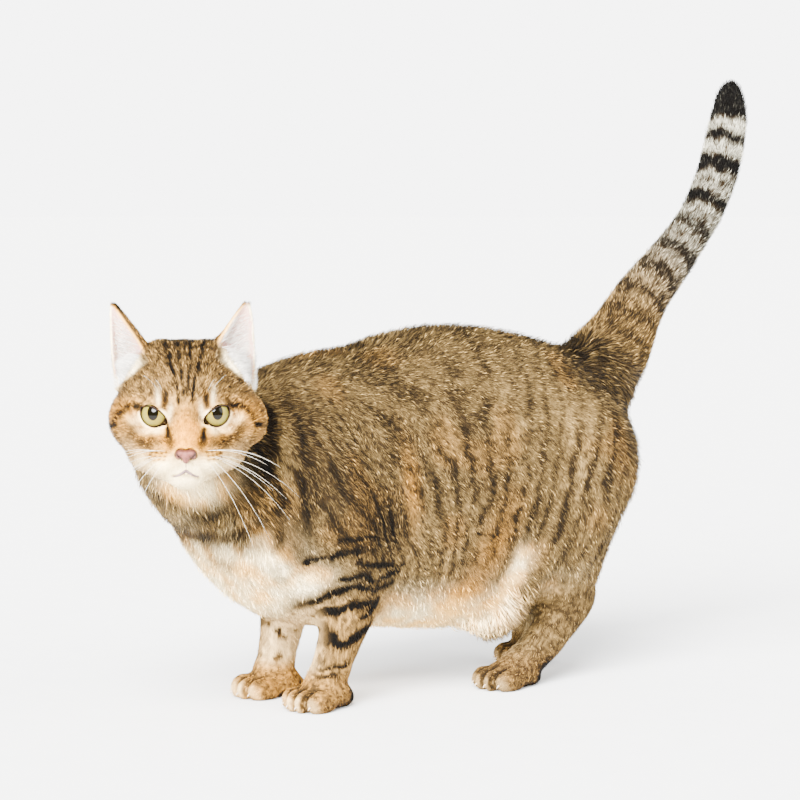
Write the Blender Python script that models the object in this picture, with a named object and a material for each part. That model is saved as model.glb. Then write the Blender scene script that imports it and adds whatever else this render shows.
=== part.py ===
"""A domestic shorthair cat, standing, with its head turned to its left and its tail raised.

The cat faces -X, its left side faces -Y and +Z is up. Sizes are in millimetres in the tables below
and are turned into metres as the shapes are made. The whole animal is modelled as one body from lofted
limbs and rounded masses, is fused, remeshed and smoothed, and is then parted into head, neck, torso,
legs, paws and tail by thin cuts.
"""

import math

import bmesh
import bpy
import numpy as np
from mathutils import Euler, Matrix, Vector

MM = 0.001
GAP = 0.3            # between nodes that meet
FLOOR_SINK = 2.0     # how far a sole is modelled below the floor before it is cut flat

# The body: every size in millimetres
SHOULDER_HEIGHT = 236
BACK_HEIGHT = 253
BELLY_CLEARANCE = 44
BODY_HALF_WIDTH = 82

# The head's own frame: x to the cat's right, y forward, z up, origin midway between the eyes
HEAD_PLACE = (-240.7, -84.3, 207.4)
HEAD_TURN = 149.0     # degrees about Z, from facing +Y
HEAD_LIFT = 3.0       # degrees, nose up
EYE_RADIUS = 10.5
EYE_SPREAD = 18.3     # from the midline to an eye's centre
EYE_DEPTH = -3.0
EYE_DROP = 0.9        # of the eyes' centres below the head's origin
EYE_OUTWARD = 8.0     # degrees that an eye looks to its own side
LID_RADIUS = 13.0     # of the lids, over an eye
EYE_RISE = 2.0        # degrees that an eye looks up
EYE_SIDES = 16

# Resolution
VOXEL = 1.9
BODY_PASSES = 30
HEAD_PASSES = 16
RING_STEPS = 4
RING_SIDES = 40

# Trunk: x, top, bottom, half width
TRUNK = (
    (-192, 160, 132, 18),
    (-180, 184, 108, 40),
    (-158, 208, 80, 54),
    (-130, SHOULDER_HEIGHT - 8, 60, 62),
    (-98, SHOULDER_HEIGHT, 51, 66),
    (-60, SHOULDER_HEIGHT + 4, 48, 70),
    (-25, BACK_HEIGHT - 4, 44, 75),
    (15, BACK_HEIGHT, 40, 80),
    (55, BACK_HEIGHT - 2, BELLY_CLEARANCE, BODY_HALF_WIDTH),
    (88, BACK_HEIGHT - 8, 45, 78),
    (116, BACK_HEIGHT - 15, 66, 66),
    (138, 230, 92, 50),
    (156, 220, 112, 38),
    (169, 208, 134, 26),
    (178, 194, 154, 12),
)
TRUNK_SAG = 0.13      # how much wider the belly is than the back

# Lofted limbs: x, y, z, fore-and-aft radius, sideways radius. Right side; y is mirrored for the left.
NECK = (
    (-98, 0, 150, 64, 60),
    (-130, 0, 156, 60, 56),
    (-158, -1, 163, 55, 51),
    (-180, -8, 174, 48, 46),
    (-198, -22, 188, 40, 40),
    (-208, -36, 196, 32, 33),
)
SHOULDER = (
    (-118, 38, 200, 20, 12),
    (-117, 41, 178, 38, 23),
    (-110, 43, 148, 43, 27),
    (-99, 44, 120, 37, 26),
    (-88, 43, 96, 31, 22),
)
FORELEG = (
    (-94, 44, 124, 36, 25),
    (-84, 42, 94, 30, 21),
    (-84, 39, 72, 25, 17.5),
    (-88, 36, 53, 19, 15),
    (-93, 34, 36, 16, 13.5),
    (-98, 32, 22, 14.5, 13.5),
    (-103, 31, 12, 13, 14),
)
THIGH = (
    (106, 38, 202, 30, 20),
    (104, 43, 180, 46, 33),
    (101, 46, 155, 50, 38),
    (96, 47, 128, 45, 37),
    (94, 47, 105, 38, 32),
    (97, 45, 84, 31, 25),
    (102, 43, 66, 25, 18),
    (107, 42, 58, 18, 15),
)
METATARSUS = (
    (115, 42, 72, 14, 12),
    (108, 42, 60, 18.5, 14),
    (96, 41, 46, 17.5, 13.5),
    (82, 40, 32, 16, 13.5),
    (68, 39, 20, 13.5, 14.5),
    (54, 38, 12, 10.5, 15.5),
)
METATARSUS_BACK = (
    (130, 40, 76, 16, 13),
    (133, 40, 62, 18.5, 14),
    (133, 39, 44, 16.5, 13.5),
    (132, 38, 28, 15, 13.5),
    (131, 37, 17, 14.5, 15),
    (129, 37, 11, 11, 15.5),
)
TAIL = (
    (118, 0, 200, 32, 28),
    (147, 0, 205, 35, 30),
    (170, 0, 222, 31, 27),
    (187, 0, 243, 25, 22),
    (201, 0, 264, 20.5, 19),
    (217, 0, 281, 18.5, 17.5),
    (234, 0, 297, 17, 16),
    (248, 0, 312, 15.5, 15),
    (261, 0, 327, 15, 15),
    (271, 0, 343, 15, 15),
    (278, 0, 358, 15, 15),
    (283, 0, 373, 15, 15),
    (287, 0, 388, 14.5, 14.5),
    (290, 0, 404, 13, 13),
    (291, 0, 418, 10, 10),
    (292, 0, 429, 5, 5),
)

# Paws: the ground point under the middle of each, and the way it points, in degrees from -X towards -Y
PAWS = {
    "forepaw_left": ((-100, -31), 8),
    "forepaw_right": ((-100, 31), -6),
    "hindpaw_left": ((55, -38), 4),
    "hindpaw_right": ((133, 37), -4),
}
TOE_PITCH = 8.8
TOE_SIZE = (12.5, 6.2, 8.6)
TOE_REACH = (13, 18, 18, 13)
PALM = ((-1, 0, 10), (20, 17, 11.5))
HEEL = ((-13, 0, 6.5), (12, 11, 8.5))

# The head's masses, in its own frame: place and radii. A mass off the midline has its twin.
HEAD_MASSES = {
    "cranium": ((0, -28, 10), (40, 37, 34.5)),
    "crown": ((14, -30, 24), (20, 20, 21)),
    "forehead": ((0, -8, 13), (28, 20, 23)),
    "brow": ((13, -2, 9), (14, 10, 9)),
    "face": ((0, -10, -6), (37, 19, 28)),
    "cheek": ((25, -21, -3.5), (24, 25, 24)),
    "jowl": ((20, -13, -24), (18, 20, 15)),
    "ear_root": ((29, -27, 21), (12, 12, 14)),
    "bridge_top": ((0, 2, 2), (12, 11, 10)),
    "bridge": ((0, 10, -7), (10.5, 10.5, 10)),
    "bridge_end": ((0, 18, -15), (9.5, 9.5, 9)),
    "nose_root": ((0, 24.5, -22), (8.5, 7, 7.5)),
    "maxilla": ((12, 9, -17), (12.5, 12, 12)),
    "under_eye": ((21, -2, -16), (15, 11, 12)),
    "muzzle": ((0, 5, -28), (23, 19, 14)),
    "whisker_pad": ((10, 16, -29), (13, 13, 9.5)),
    "chin": ((0, 13.5, -38.5), (13, 11.5, 9)),
    "jaw": ((0, -5, -32), (26, 26, 13)),
    "lids": ((EYE_SPREAD, EYE_DEPTH, -EYE_DROP), (LID_RADIUS,) * 3),
}
# Strokes that shape the remeshed skin: point, radius, way
HEAD_STROKES = (
    ((9, 7, 2), 8, (0, -2.0, 0)),
    ((0, 5, 13), 13, (0, -1.0, 0)),
    ((27, -10, 27), 10, (-1.0, -2.6, -1.0)),
)
# Nose leather: masses in the head's frame, and the nostrils cut into it
NOSE_MASSES = (
    ((2.9, 28.4, -23.6), (3.7, 4.8, 2.2)),
    ((4.3, 27.8, -25.0), (2.3, 4.0, 2.2)),
    ((0, 29.2, -25.0), (3.2, 4.6, 3.2)),
    ((0, 28.6, -27.6), (2.0, 3.6, 2.4)),
)
NOSTRIL = ((4.3, 33.0, -25.6), (1.4, 3.0, 0.8), 28)

# Eye opening: width, height and the tilt of its inner corner, in degrees
EYE_OPENING = (16.8, 13.0)
EYE_TILT = 14

# The mouth: x and z of points along its line, from the middle to the corner, and the philtrum above it
MOUTH_LINE = ((0, -32.6), (3, -33.6), (6, -35.0), (9, -36.0), (13, -36.4), (17, -36.0), (21, -34.8))
PHILTRUM = ((0, -28.5), (0, -32.8))
LIP_GROOVE = 0.9

# Ears: root and tips in the head's frame, half width and depth of the cup at its root
EAR_ROOT = (20.0, -27, 5)
EAR_TIPS = {"right": (44.5, -31, 68.8), "left": (40.0, -31, 69.6)}
EAR_HALF_WIDTH = {"right": 18.5, "left": 20.5}
EAR_DEPTH = 19
EAR_WRAP = 108        # degrees from the cup's back to each edge
EAR_TURN = 22         # degrees that the cup faces outward
EAR_WALL = 1.8

# Where the body is parted. A plane cut is a point, the way to the part it takes, and half its extent.
HEAD_CUT = ((0, -38, -14), (0, 0.83, 0.56))
NECK_CUT = ((-146, 0, 168), (-0.72, -0.05, 0.69))
TAIL_CUTS = {
    "tail_base": ((178, 0, 239), (0.62, 0, 0.78)),
    "tail_middle": ((236, 0, 304), (0.70, 0, 0.71)),
    "tail_tip": ((277, 0, 356), (0.38, 0, 0.92)),
}
PAW_CUTS = {
    "forepaw_left": ((-97, -32, 25), (-0.22, 0, -0.97), (44, 30)),
    "forepaw_right": ((-100, 32, 24), (-0.25, 0, -0.97), (44, 30)),
    "hindpaw_left": ((71, -39, 21), (-0.66, 0, -0.75), (28, 34)),
    "hindpaw_right": ((133, 38, 26), (-0.15, 0, -0.99), (44, 34)),
}
HEAD_EXTENT = (90, 90)
ELBOW_CUT = ((-92, 0, 92), (0.1, 0, -0.995))
KNEE_CUT = ((100, 0, 82), (0, 0, -1))
LEG_SLEEVE = 4.0      # between a lower leg and the cutter round it
SHOULDER_SOCKET = (
    (-114, 78, 208, 12, 14),
    (-114, 78, 194, 34, 34),
    (-110, 78, 150, 46, 44),
    (-102, 68, 116, 42, 40),
    (-92, 52, 88, 34, 32),
    (-87, 42, 66, 27, 24),
)
HIP_SOCKET = (
    (108, 84, 218, 12, 14),
    (107, 86, 204, 38, 38),
    (104, 88, 160, 58, 56),
    (99, 76, 122, 50, 50),
    (98, 58, 94, 40, 38),
    (99, 46, 64, 32, 28),
)
MARGIN = 2.0          # what a part keeps past its cut until it is thinned

# Triangles of each part before its cuts
HEAD_TRIANGLES = 2600
PAW_TRIANGLES = 340
NOSE_TRIANGLES = 220
BODY_TRIANGLES = 3400

# Colour and roughness of each kind of node
COLOURS = {
    "head": ("9c8062", 0.9),
    "nose": ("c98d80", 0.5),
    "ear": ("b79b80", 0.85),
    "eye": ("b4ad6c", 0.08),
    "neck": ("8d7557", 0.9),
    "torso": ("7d6750", 0.9),
    "tail_base": ("6f5f4b", 0.9),
    "tail_middle": ("77695a", 0.9),
    "tail_tip": ("4b453f", 0.9),
    "shoulder": ("7f6648", 0.9),
    "foreleg": ("9a7650", 0.9),
    "thigh": ("7d6750", 0.9),
    "hindleg": ("9c7a56", 0.9),
    "forepaw": ("c59b6f", 0.9),
    "hindpaw": ("c59b6f", 0.9),
}


def millimetres(values):
    """A point in metres from one in millimetres."""
    return Vector(values) * MM


def clear_scene():
    """Removes everything that a new Blender file holds."""
    for thing in list(bpy.data.objects):
        bpy.data.objects.remove(thing)


def new_object(name, bm):
    """An object at the origin that holds what bm holds."""
    bmesh.ops.recalc_face_normals(bm, faces=bm.faces)
    mesh = bpy.data.meshes.new(name)
    bm.to_mesh(mesh)
    bm.free()
    thing = bpy.data.objects.new(name, mesh)
    bpy.context.scene.collection.objects.link(thing)
    return thing


def bake(thing):
    """Applies an object's modifiers to its mesh."""
    bpy.context.view_layer.update()
    graph = bpy.context.evaluated_depsgraph_get()
    mesh = bpy.data.meshes.new_from_object(thing.evaluated_get(graph))
    thing.modifiers.clear()
    thing.data = mesh
    return thing


def copy_of(thing, name):
    """A copy of an object with a mesh of its own."""
    twin = thing.copy()
    twin.data = thing.data.copy()
    twin.name = name
    bpy.context.scene.collection.objects.link(twin)
    return twin


def smooth_value(values, place):
    """The value of a smooth curve through the values, at place from 0 to their count less 1."""
    last = len(values) - 1
    at = min(int(place), last - 1)
    step = place - at
    before, here, there, after = (values[min(max(at + k, 0), last)] for k in (-1, 0, 1, 2))
    slope_here, slope_there = (there - before) / 2, (after - here) / 2
    return (
        here * (2 * step**3 - 3 * step**2 + 1)
        + slope_here * (step**3 - 2 * step**2 + step)
        + there * (3 * step**2 - 2 * step**3)
        + slope_there * (step**3 - step**2)
    )


def smooth_rows(rows, steps=RING_STEPS):
    """Rows of a table with smooth rows put between them."""
    count = (len(rows) - 1) * steps
    columns = list(zip(*rows))
    return [
        [smooth_value(column, k / steps) for column in columns] for k in range(count + 1)
    ]


def skin_rings(name, rings):
    """A closed object over a row of rings, each a list of points."""
    bm = bmesh.new()
    loops = []
    for ring in rings:
        made = bmesh.ops.create_circle(bm, segments=len(ring), radius=1)["verts"]
        for vertex, point in zip(made, ring):
            vertex.co = point
        loops.append(sorted({e for v in made for e in v.link_edges}, key=lambda e: e.index))
        bm.edges.index_update()
    for here, there in zip(loops, loops[1:]):
        bmesh.ops.bridge_loops(bm, edges=list(here) + list(there))
    for end in (loops[0], loops[-1]):
        bmesh.ops.contextual_create(bm, geom=list(end))
    return new_object(name, bm)


def trunk():
    """The barrel of the body: egg-shaped sections along X, wider below than above."""
    rings = []
    for x, top, bottom, half in smooth_rows(TRUNK):
        middle, high = (top + bottom) / 2, (top - bottom) / 2
        ring = []
        for k in range(RING_SIDES):
            turn = 2 * math.pi * k / RING_SIDES
            side = half * math.cos(turn) * (1 - TRUNK_SAG * math.sin(turn))
            ring.append(millimetres((x, side, middle + high * math.sin(turn))))
        rings.append(ring)
    return skin_rings("trunk", rings)


def limb(name, rows, side=1, grow=0, steps=RING_STEPS, sides=RING_SIDES):
    """A lofted limb. Its sections stand square to its line, and their second radius lies along Y."""
    level = Vector((0, 1, 0))
    rows = smooth_rows(rows, steps)
    centres = [Vector((x, y * side, z)) for x, y, z, _, _ in rows]
    rings = []
    for k, (centre, row) in enumerate(zip(centres, rows)):
        along = (centres[min(k + 1, len(rows) - 1)] - centres[max(k - 1, 0)]).normalized()
        across = (level - along * level.dot(along)).normalized()
        fore = along.cross(across)
        if k in (0, len(rows) - 1):
            centre = centre + along * (grow if k else -grow)
        ring = []
        for j in range(sides):
            turn = 2 * math.pi * j / sides
            wide, deep = row[3] + grow, row[4] + grow
            offset = fore * (wide * math.cos(turn)) + across * (deep * math.sin(turn))
            ring.append((centre + offset) * MM)
        rings.append(ring)
    return skin_rings(name, rings)


def ball(name, centre, radii, frame=None, turn=(0, 0, 0), sides=24):
    """An ellipsoid, in a frame where one is given; turn is in degrees."""
    bm = bmesh.new()
    place = Matrix.Translation(millimetres(centre))
    spin = Euler([math.radians(angle) for angle in turn]).to_matrix().to_4x4()
    size = Matrix.Diagonal((*millimetres(radii), 1))
    matrix = (frame or Matrix()) @ place @ spin @ size
    bmesh.ops.create_uvsphere(bm, u_segments=sides, v_segments=sides * 2 // 3, radius=1, matrix=matrix)
    return new_object(name, bm)


def box(name, low, high, frame=None):
    """A box between two corners, in a frame where one is given."""
    bm = bmesh.new()
    low, high = millimetres(low), millimetres(high)
    matrix = Matrix.Translation((low + high) / 2) @ Matrix.Diagonal((*(high - low), 1))
    bmesh.ops.create_cube(bm, size=1, matrix=(frame or Matrix()) @ matrix)
    return new_object(name, bm)


def head_frame():
    """The frame that the head is modelled in."""
    turn = Matrix.Rotation(math.radians(HEAD_TURN), 4, "Z")
    lift = Matrix.Rotation(math.radians(HEAD_LIFT), 4, "X")
    return Matrix.Translation(millimetres(HEAD_PLACE)) @ turn @ lift


def fuse(name, pieces):
    """One closed body from pieces that overlap. The pieces are removed."""
    first, rest = pieces[0], pieces[1:]
    group = bpy.data.collections.new(name + "_pieces")
    bpy.context.scene.collection.children.link(group)
    for piece in rest:
        group.objects.link(piece)
    union = first.modifiers.new("join", "BOOLEAN")
    union.operation = "UNION"
    union.operand_type = "COLLECTION"
    union.collection = group
    union.solver = "MANIFOLD"
    bake(first)
    for piece in rest:
        bpy.data.objects.remove(piece)
    bpy.data.collections.remove(group)
    first.name = name
    return first


def boolean(thing, cutter, operation):
    """Cuts or keeps part of an object by a cutter, which stays."""
    cut = thing.modifiers.new("cut", "BOOLEAN")
    cut.operation = operation
    cut.object = cutter
    cut.solver = "MANIFOLD"
    return bake(thing)


def cut(thing, cutter, operation="DIFFERENCE"):
    """Cuts an object by a cutter that is used once and removed."""
    boolean(thing, cutter, operation)
    bpy.data.objects.remove(cutter)
    return thing


def keep_largest(thing):
    """Leaves only the object's largest closed surface."""
    bm = bmesh.new()
    bm.from_mesh(thing.data)
    left, islands = set(bm.verts), []
    while left:
        island, edge = set(), [left.pop()]
        while edge:
            vertex = edge.pop()
            island.add(vertex)
            for link in vertex.link_edges:
                other = link.other_vert(vertex)
                if other in left:
                    left.discard(other)
                    edge.append(other)
        islands.append(island)

    def size(island):
        corners = [v.co for v in island]
        return sum(max(c[k] for c in corners) - min(c[k] for c in corners) for k in range(3))

    islands.sort(key=size)
    bmesh.ops.delete(bm, geom=[v for island in islands[:-1] for v in island], context="VERTS")
    bm.to_mesh(thing.data)
    bm.free()
    return thing


def remesh(thing, voxel, passes):
    """An even skin over the object, smoothed."""
    even = thing.modifiers.new("even", "REMESH")
    even.mode = "VOXEL"
    even.voxel_size = voxel * MM
    soft = thing.modifiers.new("soft", "SMOOTH")
    soft.factor = 0.5
    soft.iterations = passes
    return bake(thing)


def is_closed(thing):
    """Whether every edge of the object has two faces."""
    bm = bmesh.new()
    bm.from_mesh(thing.data)
    closed = all(edge.is_manifold for edge in bm.edges) and all(v.is_manifold for v in bm.verts)
    bm.free()
    return closed


def thin(thing, triangles):
    """Lowers an object's triangle count to about the number given, and keeps it closed."""
    dense = thing.data
    dense.calc_loop_triangles()
    for extra in range(0, 300, 20):
        thing.data = dense
        share = thing.modifiers.new("thin", "DECIMATE")
        share.ratio = min(1.0, (triangles + extra) / len(dense.loop_triangles))
        share.use_collapse_triangulate = True
        bake(thing)
        if is_closed(thing):
            break
    return thing


def push(thing, frame, strokes):
    """Moves the skin near each stroke's point, as a thumb moves clay.

    A stroke is a point, a radius and a way to move, in the frame's millimetres. One off the midline has
    its twin."""
    points = np.empty(len(thing.data.vertices) * 3)
    thing.data.vertices.foreach_get("co", points)
    points = points.reshape(-1, 3)
    for point, radius, way in strokes:
        for side in (-1, 1) if point[0] else (1,):
            mirror = Vector((side, 1, 1))
            centre = frame @ (millimetres(point) * mirror)
            move = frame.to_3x3() @ (millimetres(way) * mirror)
            away = np.linalg.norm(points - np.array(centre), axis=1) / (radius * MM)
            share = np.clip(1 - away**2, 0, None)[:, None] ** 2
            points += share * np.array(move)
    thing.data.vertices.foreach_set("co", points.ravel())
    thing.data.update()


def soften(thing):
    """Smooths the skin: most on trunk and limbs, less on the head and least on the paws."""
    frame = head_frame().inverted()
    point, way = HEAD_CUT
    way = Vector(way).normalized()
    groups = {name: thing.vertex_groups.new(name=name) for name in ("body", "head")}
    for vertex in thing.data.vertices:
        beyond = (frame @ vertex.co / MM - Vector(point)).dot(way)
        face = min(max(beyond / 12, 0), 1)
        foot = min(max((vertex.co.z / MM - 26) / 20, 0), 1)
        groups["body"].add([vertex.index], (1 - face) * foot, "REPLACE")
        groups["head"].add([vertex.index], face, "REPLACE")
    for name, passes in (("body", BODY_PASSES), ("head", HEAD_PASSES)):
        soft = thing.modifiers.new(name, "SMOOTH")
        soft.factor = 0.5
        soft.iterations = passes
        soft.vertex_group = name
    return bake(thing)


def paw(name, place, heading):
    """A paw's toes, palm and heel pad, as loose pieces in the world."""
    turn = Matrix.Rotation(math.radians(180 + heading), 4, "Z")
    frame = Matrix.Translation(millimetres((*place, 0))) @ turn
    pieces = [ball(name + "_palm", *PALM, frame), ball(name + "_heel", *HEEL, frame)]
    for k, reach in enumerate(TOE_REACH):
        centre = (reach, (k - 1.5) * TOE_PITCH, TOE_SIZE[2] - FLOOR_SINK)
        pieces.append(ball(f"{name}_toe_{k}", centre, TOE_SIZE, frame, sides=18))
    return pieces


def head_masses():
    """The head's masses, as loose pieces in the world."""
    frame = head_frame()
    pieces = []
    for name, (centre, radii) in HEAD_MASSES.items():
        for side in (-1, 1) if centre[0] else (1,):
            pieces.append(ball(name, (centre[0] * side, *centre[1:]), radii, frame))
    return pieces


def ear(name, side):
    """An ear: a tapering cup with a wall, whose root runs into the head."""
    rows, columns = 9, 11
    bm = bmesh.new()
    bmesh.ops.create_grid(bm, x_segments=columns - 1, y_segments=rows - 1, size=1)
    root, tip = Vector(EAR_ROOT), Vector(EAR_TIPS[name])
    for vertex in bm.verts:
        up = (vertex.co.y + 1) / 2
        turn = math.radians(EAR_WRAP * vertex.co.x)
        width = EAR_HALF_WIDTH[name] * (1 - up**1.5) + 1.3
        depth = EAR_DEPTH * (1 - up) ** 1.1 + 0.6
        out = Vector((math.sin(turn) * width, -math.cos(turn) * depth, 0))
        out.rotate(Euler((0, 0, math.radians(-EAR_TURN))))
        vertex.co = (root.lerp(tip, up) + out) * MM
    for vertex in bm.verts:
        vertex.co.x *= side
    thing = new_object("ear_" + name, bm)
    wall = thing.modifiers.new("wall", "SOLIDIFY")
    wall.thickness = EAR_WALL * MM
    wall.offset = 0
    bake(thing)
    thing.data.transform(head_frame())
    return outward(thing)


def outward(thing):
    """Turns a closed object's faces outward."""
    bm = bmesh.new()
    bm.from_mesh(thing.data)
    bmesh.ops.recalc_face_normals(bm, faces=bm.faces)
    bm.to_mesh(thing.data)
    bm.free()
    return thing


def grown(thing, by):
    """A copy of an object, larger by so many millimetres on every side."""
    twin = copy_of(thing, thing.name + "_grown")
    swell = twin.modifiers.new("swell", "DISPLACE")
    swell.strength = by * MM
    swell.mid_level = 0
    return bake(twin)


def half_space(name, plane, shift, extent=(400, 400), reach=500, frame=None):
    """A box beyond a plane, given as a point and the way to the side that the box is on."""
    point, way = Vector(plane[0]), Vector(plane[1]).normalized()
    across = (Vector((0, 1, 0)) - way * way.y).normalized()
    along = across.cross(way)
    place = Matrix((along, across, way)).transposed().to_4x4()
    place.translation = point * MM
    place = (frame or Matrix()) @ place
    return box(name, (-extent[0], -extent[1], shift), (extent[0], extent[1], reach), place)


def part_off(thing, name, inner, outer):
    """Takes what lies in the cutter inner as an object of its own and leaves what is outside outer."""
    piece = copy_of(thing, name)
    cut(piece, inner, "INTERSECT")
    cut(thing, outer)
    return piece


def split(thing, name, plane, gap=GAP, **size):
    """Parts an object at a plane, with a gap between. Gives the piece beyond the plane."""
    inner = half_space("inner", plane, gap / 2, **size)
    outer = half_space("outer", plane, -gap / 2, **size)
    return part_off(thing, name, inner, outer)


def leg_cutter(side, socket, sleeve, grow):
    """A body that holds a leg from its socket to its paw."""
    return fuse("leg_cutter", [
        limb("socket", socket, side, grow, 2, 18),
        limb("sleeve", sleeve, side, LEG_SLEEVE + grow, 1, 12),
    ])


def tube(name, points, radius, level):
    """A closed tube through points, thinner at both ends."""
    rings = []
    last = len(points) - 1
    for k, point in enumerate(points):
        along = (points[min(k + 1, last)] - points[max(k - 1, 0)]).normalized()
        across = along.cross(level).normalized()
        deep = across.cross(along)
        size = radius * MM * (0.35 if k in (0, last) else 1)
        turns = [2 * math.pi * j / 8 for j in range(8)]
        rings.append([point + (across * math.cos(t) + deep * math.sin(t)) * size for t in turns])
    return skin_rings(name, rings)


def groove(head, name, line):
    """Cuts a groove into the head's front along a line of x and z."""
    frame = head_frame()
    ahead = frame.to_3x3() @ Vector((0, 1, 0))
    points = []
    for x, z in line:
        start = frame @ millimetres((x, 90, z))
        hit, place, _, _ = head.ray_cast(start, -ahead)
        if hit:
            points.append(place)
    cut(head, tube(name, points, LIP_GROOVE, ahead))


def eye_frame(side):
    """The frame of an eye: its z looks out through the opening, its x points to the outer corner."""
    turn = Matrix.Rotation(math.radians(-EYE_OUTWARD * side), 4, "Z")
    rise = Matrix.Rotation(math.radians(-90 + EYE_RISE), 4, "X")
    roll = Matrix.Rotation(math.radians(-EYE_TILT * side), 4, "Z")
    place = Matrix.Translation(millimetres((EYE_SPREAD * side, EYE_DEPTH, -EYE_DROP)))
    flip = Matrix.Diagonal((side, 1, 1, 1))
    return head_frame() @ place @ turn @ rise @ roll @ flip


def eye_opening(side):
    """A prism through the lids: rounded below, flatter towards the inner corner above."""
    frame = eye_frame(side)
    half, high = EYE_OPENING[0] / 2, EYE_OPENING[1] / 2
    rings = []
    for depth, size in ((4, 1), (20, 1.12)):
        ring = []
        for k in range(28):
            turn = 2 * math.pi * k / 28
            across, up = math.cos(turn), -math.sin(turn)
            reach = high * (1 if up < 0 else 1 + 0.12 * across)
            point = (half * across, -reach * up * abs(up) ** 0.15, depth)
            ring.append(frame @ millimetres([point[0] * size, point[1] * size, point[2]]))
        rings.append(ring)
    return skin_rings("opening", rings)


def finish_head(head):
    """Ear cups, eye sockets, lids, the pocket of the nose and the line of the mouth."""
    frame = head_frame()
    nose_pieces = []
    for centre, radii in NOSE_MASSES:
        for side in (-1, 1) if centre[0] else (1,):
            nose_pieces.append(ball("leather", (centre[0] * side, *centre[1:]), radii, frame, sides=14))
    nose = thin(fuse("nose", nose_pieces), NOSE_TRIANGLES)
    groove(head, "mouth_right", MOUTH_LINE)
    groove(head, "mouth_left", [(-x, z) for x, z in MOUTH_LINE])
    groove(head, "philtrum", PHILTRUM)
    cut(head, grown(nose, GAP))
    centre, radii, slant = NOSTRIL
    for side in (-1, 1):
        place = (centre[0] * side, *centre[1:])
        hole = ball("nostril", place, radii, frame, (0, -slant * side, 0), sides=10)
        cut(nose, hole)
    made = [head, nose]
    for side, name in ((-1, "left"), (1, "right")):
        place = (EYE_SPREAD * side, EYE_DEPTH, -EYE_DROP)
        socket = ball("socket", place, (EYE_RADIUS + GAP,) * 3, frame, sides=EYE_SIDES)
        cut(head, socket)
        cut(head, eye_opening(side))
        made.append(ball("eye_" + name, place, (EYE_RADIUS,) * 3, frame, sides=EYE_SIDES))
        made.append(ear(name, side))
    swollen = grown(head, GAP)
    for thing in made:
        if thing.name.startswith("ear"):
            boolean(thing, swollen, "DIFFERENCE")
    bpy.data.objects.remove(swollen)
    return made


def whole_body():
    """The animal in one piece, without ears, eyes and nose leather."""
    pieces = [trunk(), limb("neck", NECK)]
    for side in (-1, 1):
        pieces.append(limb("shoulder", SHOULDER, side))
        pieces.append(limb("foreleg", FORELEG, side))
        pieces.append(limb("thigh", THIGH, side))
    pieces.append(limb("metatarsus_left", METATARSUS, -1))
    pieces.append(limb("metatarsus_right", METATARSUS_BACK, 1))
    pieces.append(limb("tail", TAIL))
    for name, (place, heading) in PAWS.items():
        pieces += paw(name, place, heading)
    pieces += head_masses()
    whole = remesh(fuse("cat", pieces), VOXEL, 5)
    soften(whole)
    push(whole, head_frame(), HEAD_STROKES)
    return whole


def parts_of(whole):
    """Parts the animal into its nodes by thin cuts. Head and paws keep more of their detail."""
    frame = head_frame()
    head = split(whole, "head", HEAD_CUT, -2 * MARGIN, extent=HEAD_EXTENT, reach=170, frame=frame)
    thin(head, HEAD_TRIANGLES)
    paws = []
    for name, (*plane, extent) in PAW_CUTS.items():
        foot = split(whole, name, plane, -2 * MARGIN, extent=extent, reach=70)
        paws.append(thin(keep_largest(foot), PAW_TRIANGLES))
    torso = thin(whole, BODY_TRIANGLES)
    torso.name = "torso"
    cut(head, half_space("inner", HEAD_CUT, GAP / 2, HEAD_EXTENT, 200, frame), "INTERSECT")
    cut(torso, half_space("outer", HEAD_CUT, -GAP / 2, HEAD_EXTENT, 200, frame))
    for foot in paws:
        *plane, extent = PAW_CUTS[foot.name]
        cut(foot, half_space("inner", plane, GAP / 2, (60, 60), 90), "INTERSECT")
        cut(torso, half_space("outer", plane, -GAP / 2, extent, 90))
    made = finish_head(head) + paws
    made.append(split(torso, "neck", NECK_CUT))
    rest = torso
    for name, plane in TAIL_CUTS.items():
        rest = split(rest, name, plane)
        made.append(rest)
    for side, name in ((-1, "left"), (1, "right")):
        shin = METATARSUS if side < 0 else METATARSUS_BACK
        for upper, lower, socket, sleeve, plane in (
            ("shoulder_", "foreleg_", SHOULDER_SOCKET, FORELEG, ELBOW_CUT),
            ("thigh_", "hindleg_", HIP_SOCKET, shin, KNEE_CUT),
        ):
            inner = leg_cutter(side, socket, sleeve, 0)
            outer = leg_cutter(side, socket, sleeve, 1.5 * GAP)
            leg = part_off(torso, upper + name, inner, outer)
            made.append(leg)
            made.append(split(leg, lower + name, plane))
    made.append(torso)
    return made


def linear(value):
    """A hexadecimal colour as linear values."""
    shares = [int(value[k:k + 2], 16) / 255 for k in (0, 2, 4)]
    return [c / 12.92 if c <= 0.04045 else ((c + 0.055) / 1.055) ** 2.4 for c in shares]


def dress(thing):
    """Gives a node its own material, after what it is made of."""
    kind = next(kind for kind in COLOURS if thing.name.startswith(kind))
    colour, roughness = COLOURS[kind]
    material = bpy.data.materials.new(thing.name)
    material.use_nodes = True
    shader = material.node_tree.nodes["Principled BSDF"]
    shader.inputs["Base Color"].default_value = (*linear(colour), 1)
    shader.inputs["Roughness"].default_value = roughness
    shader.inputs["Metallic"].default_value = 0
    material.diffuse_color = (*linear(colour), 1)
    thing.data.materials.clear()
    thing.data.materials.append(material)


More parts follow.
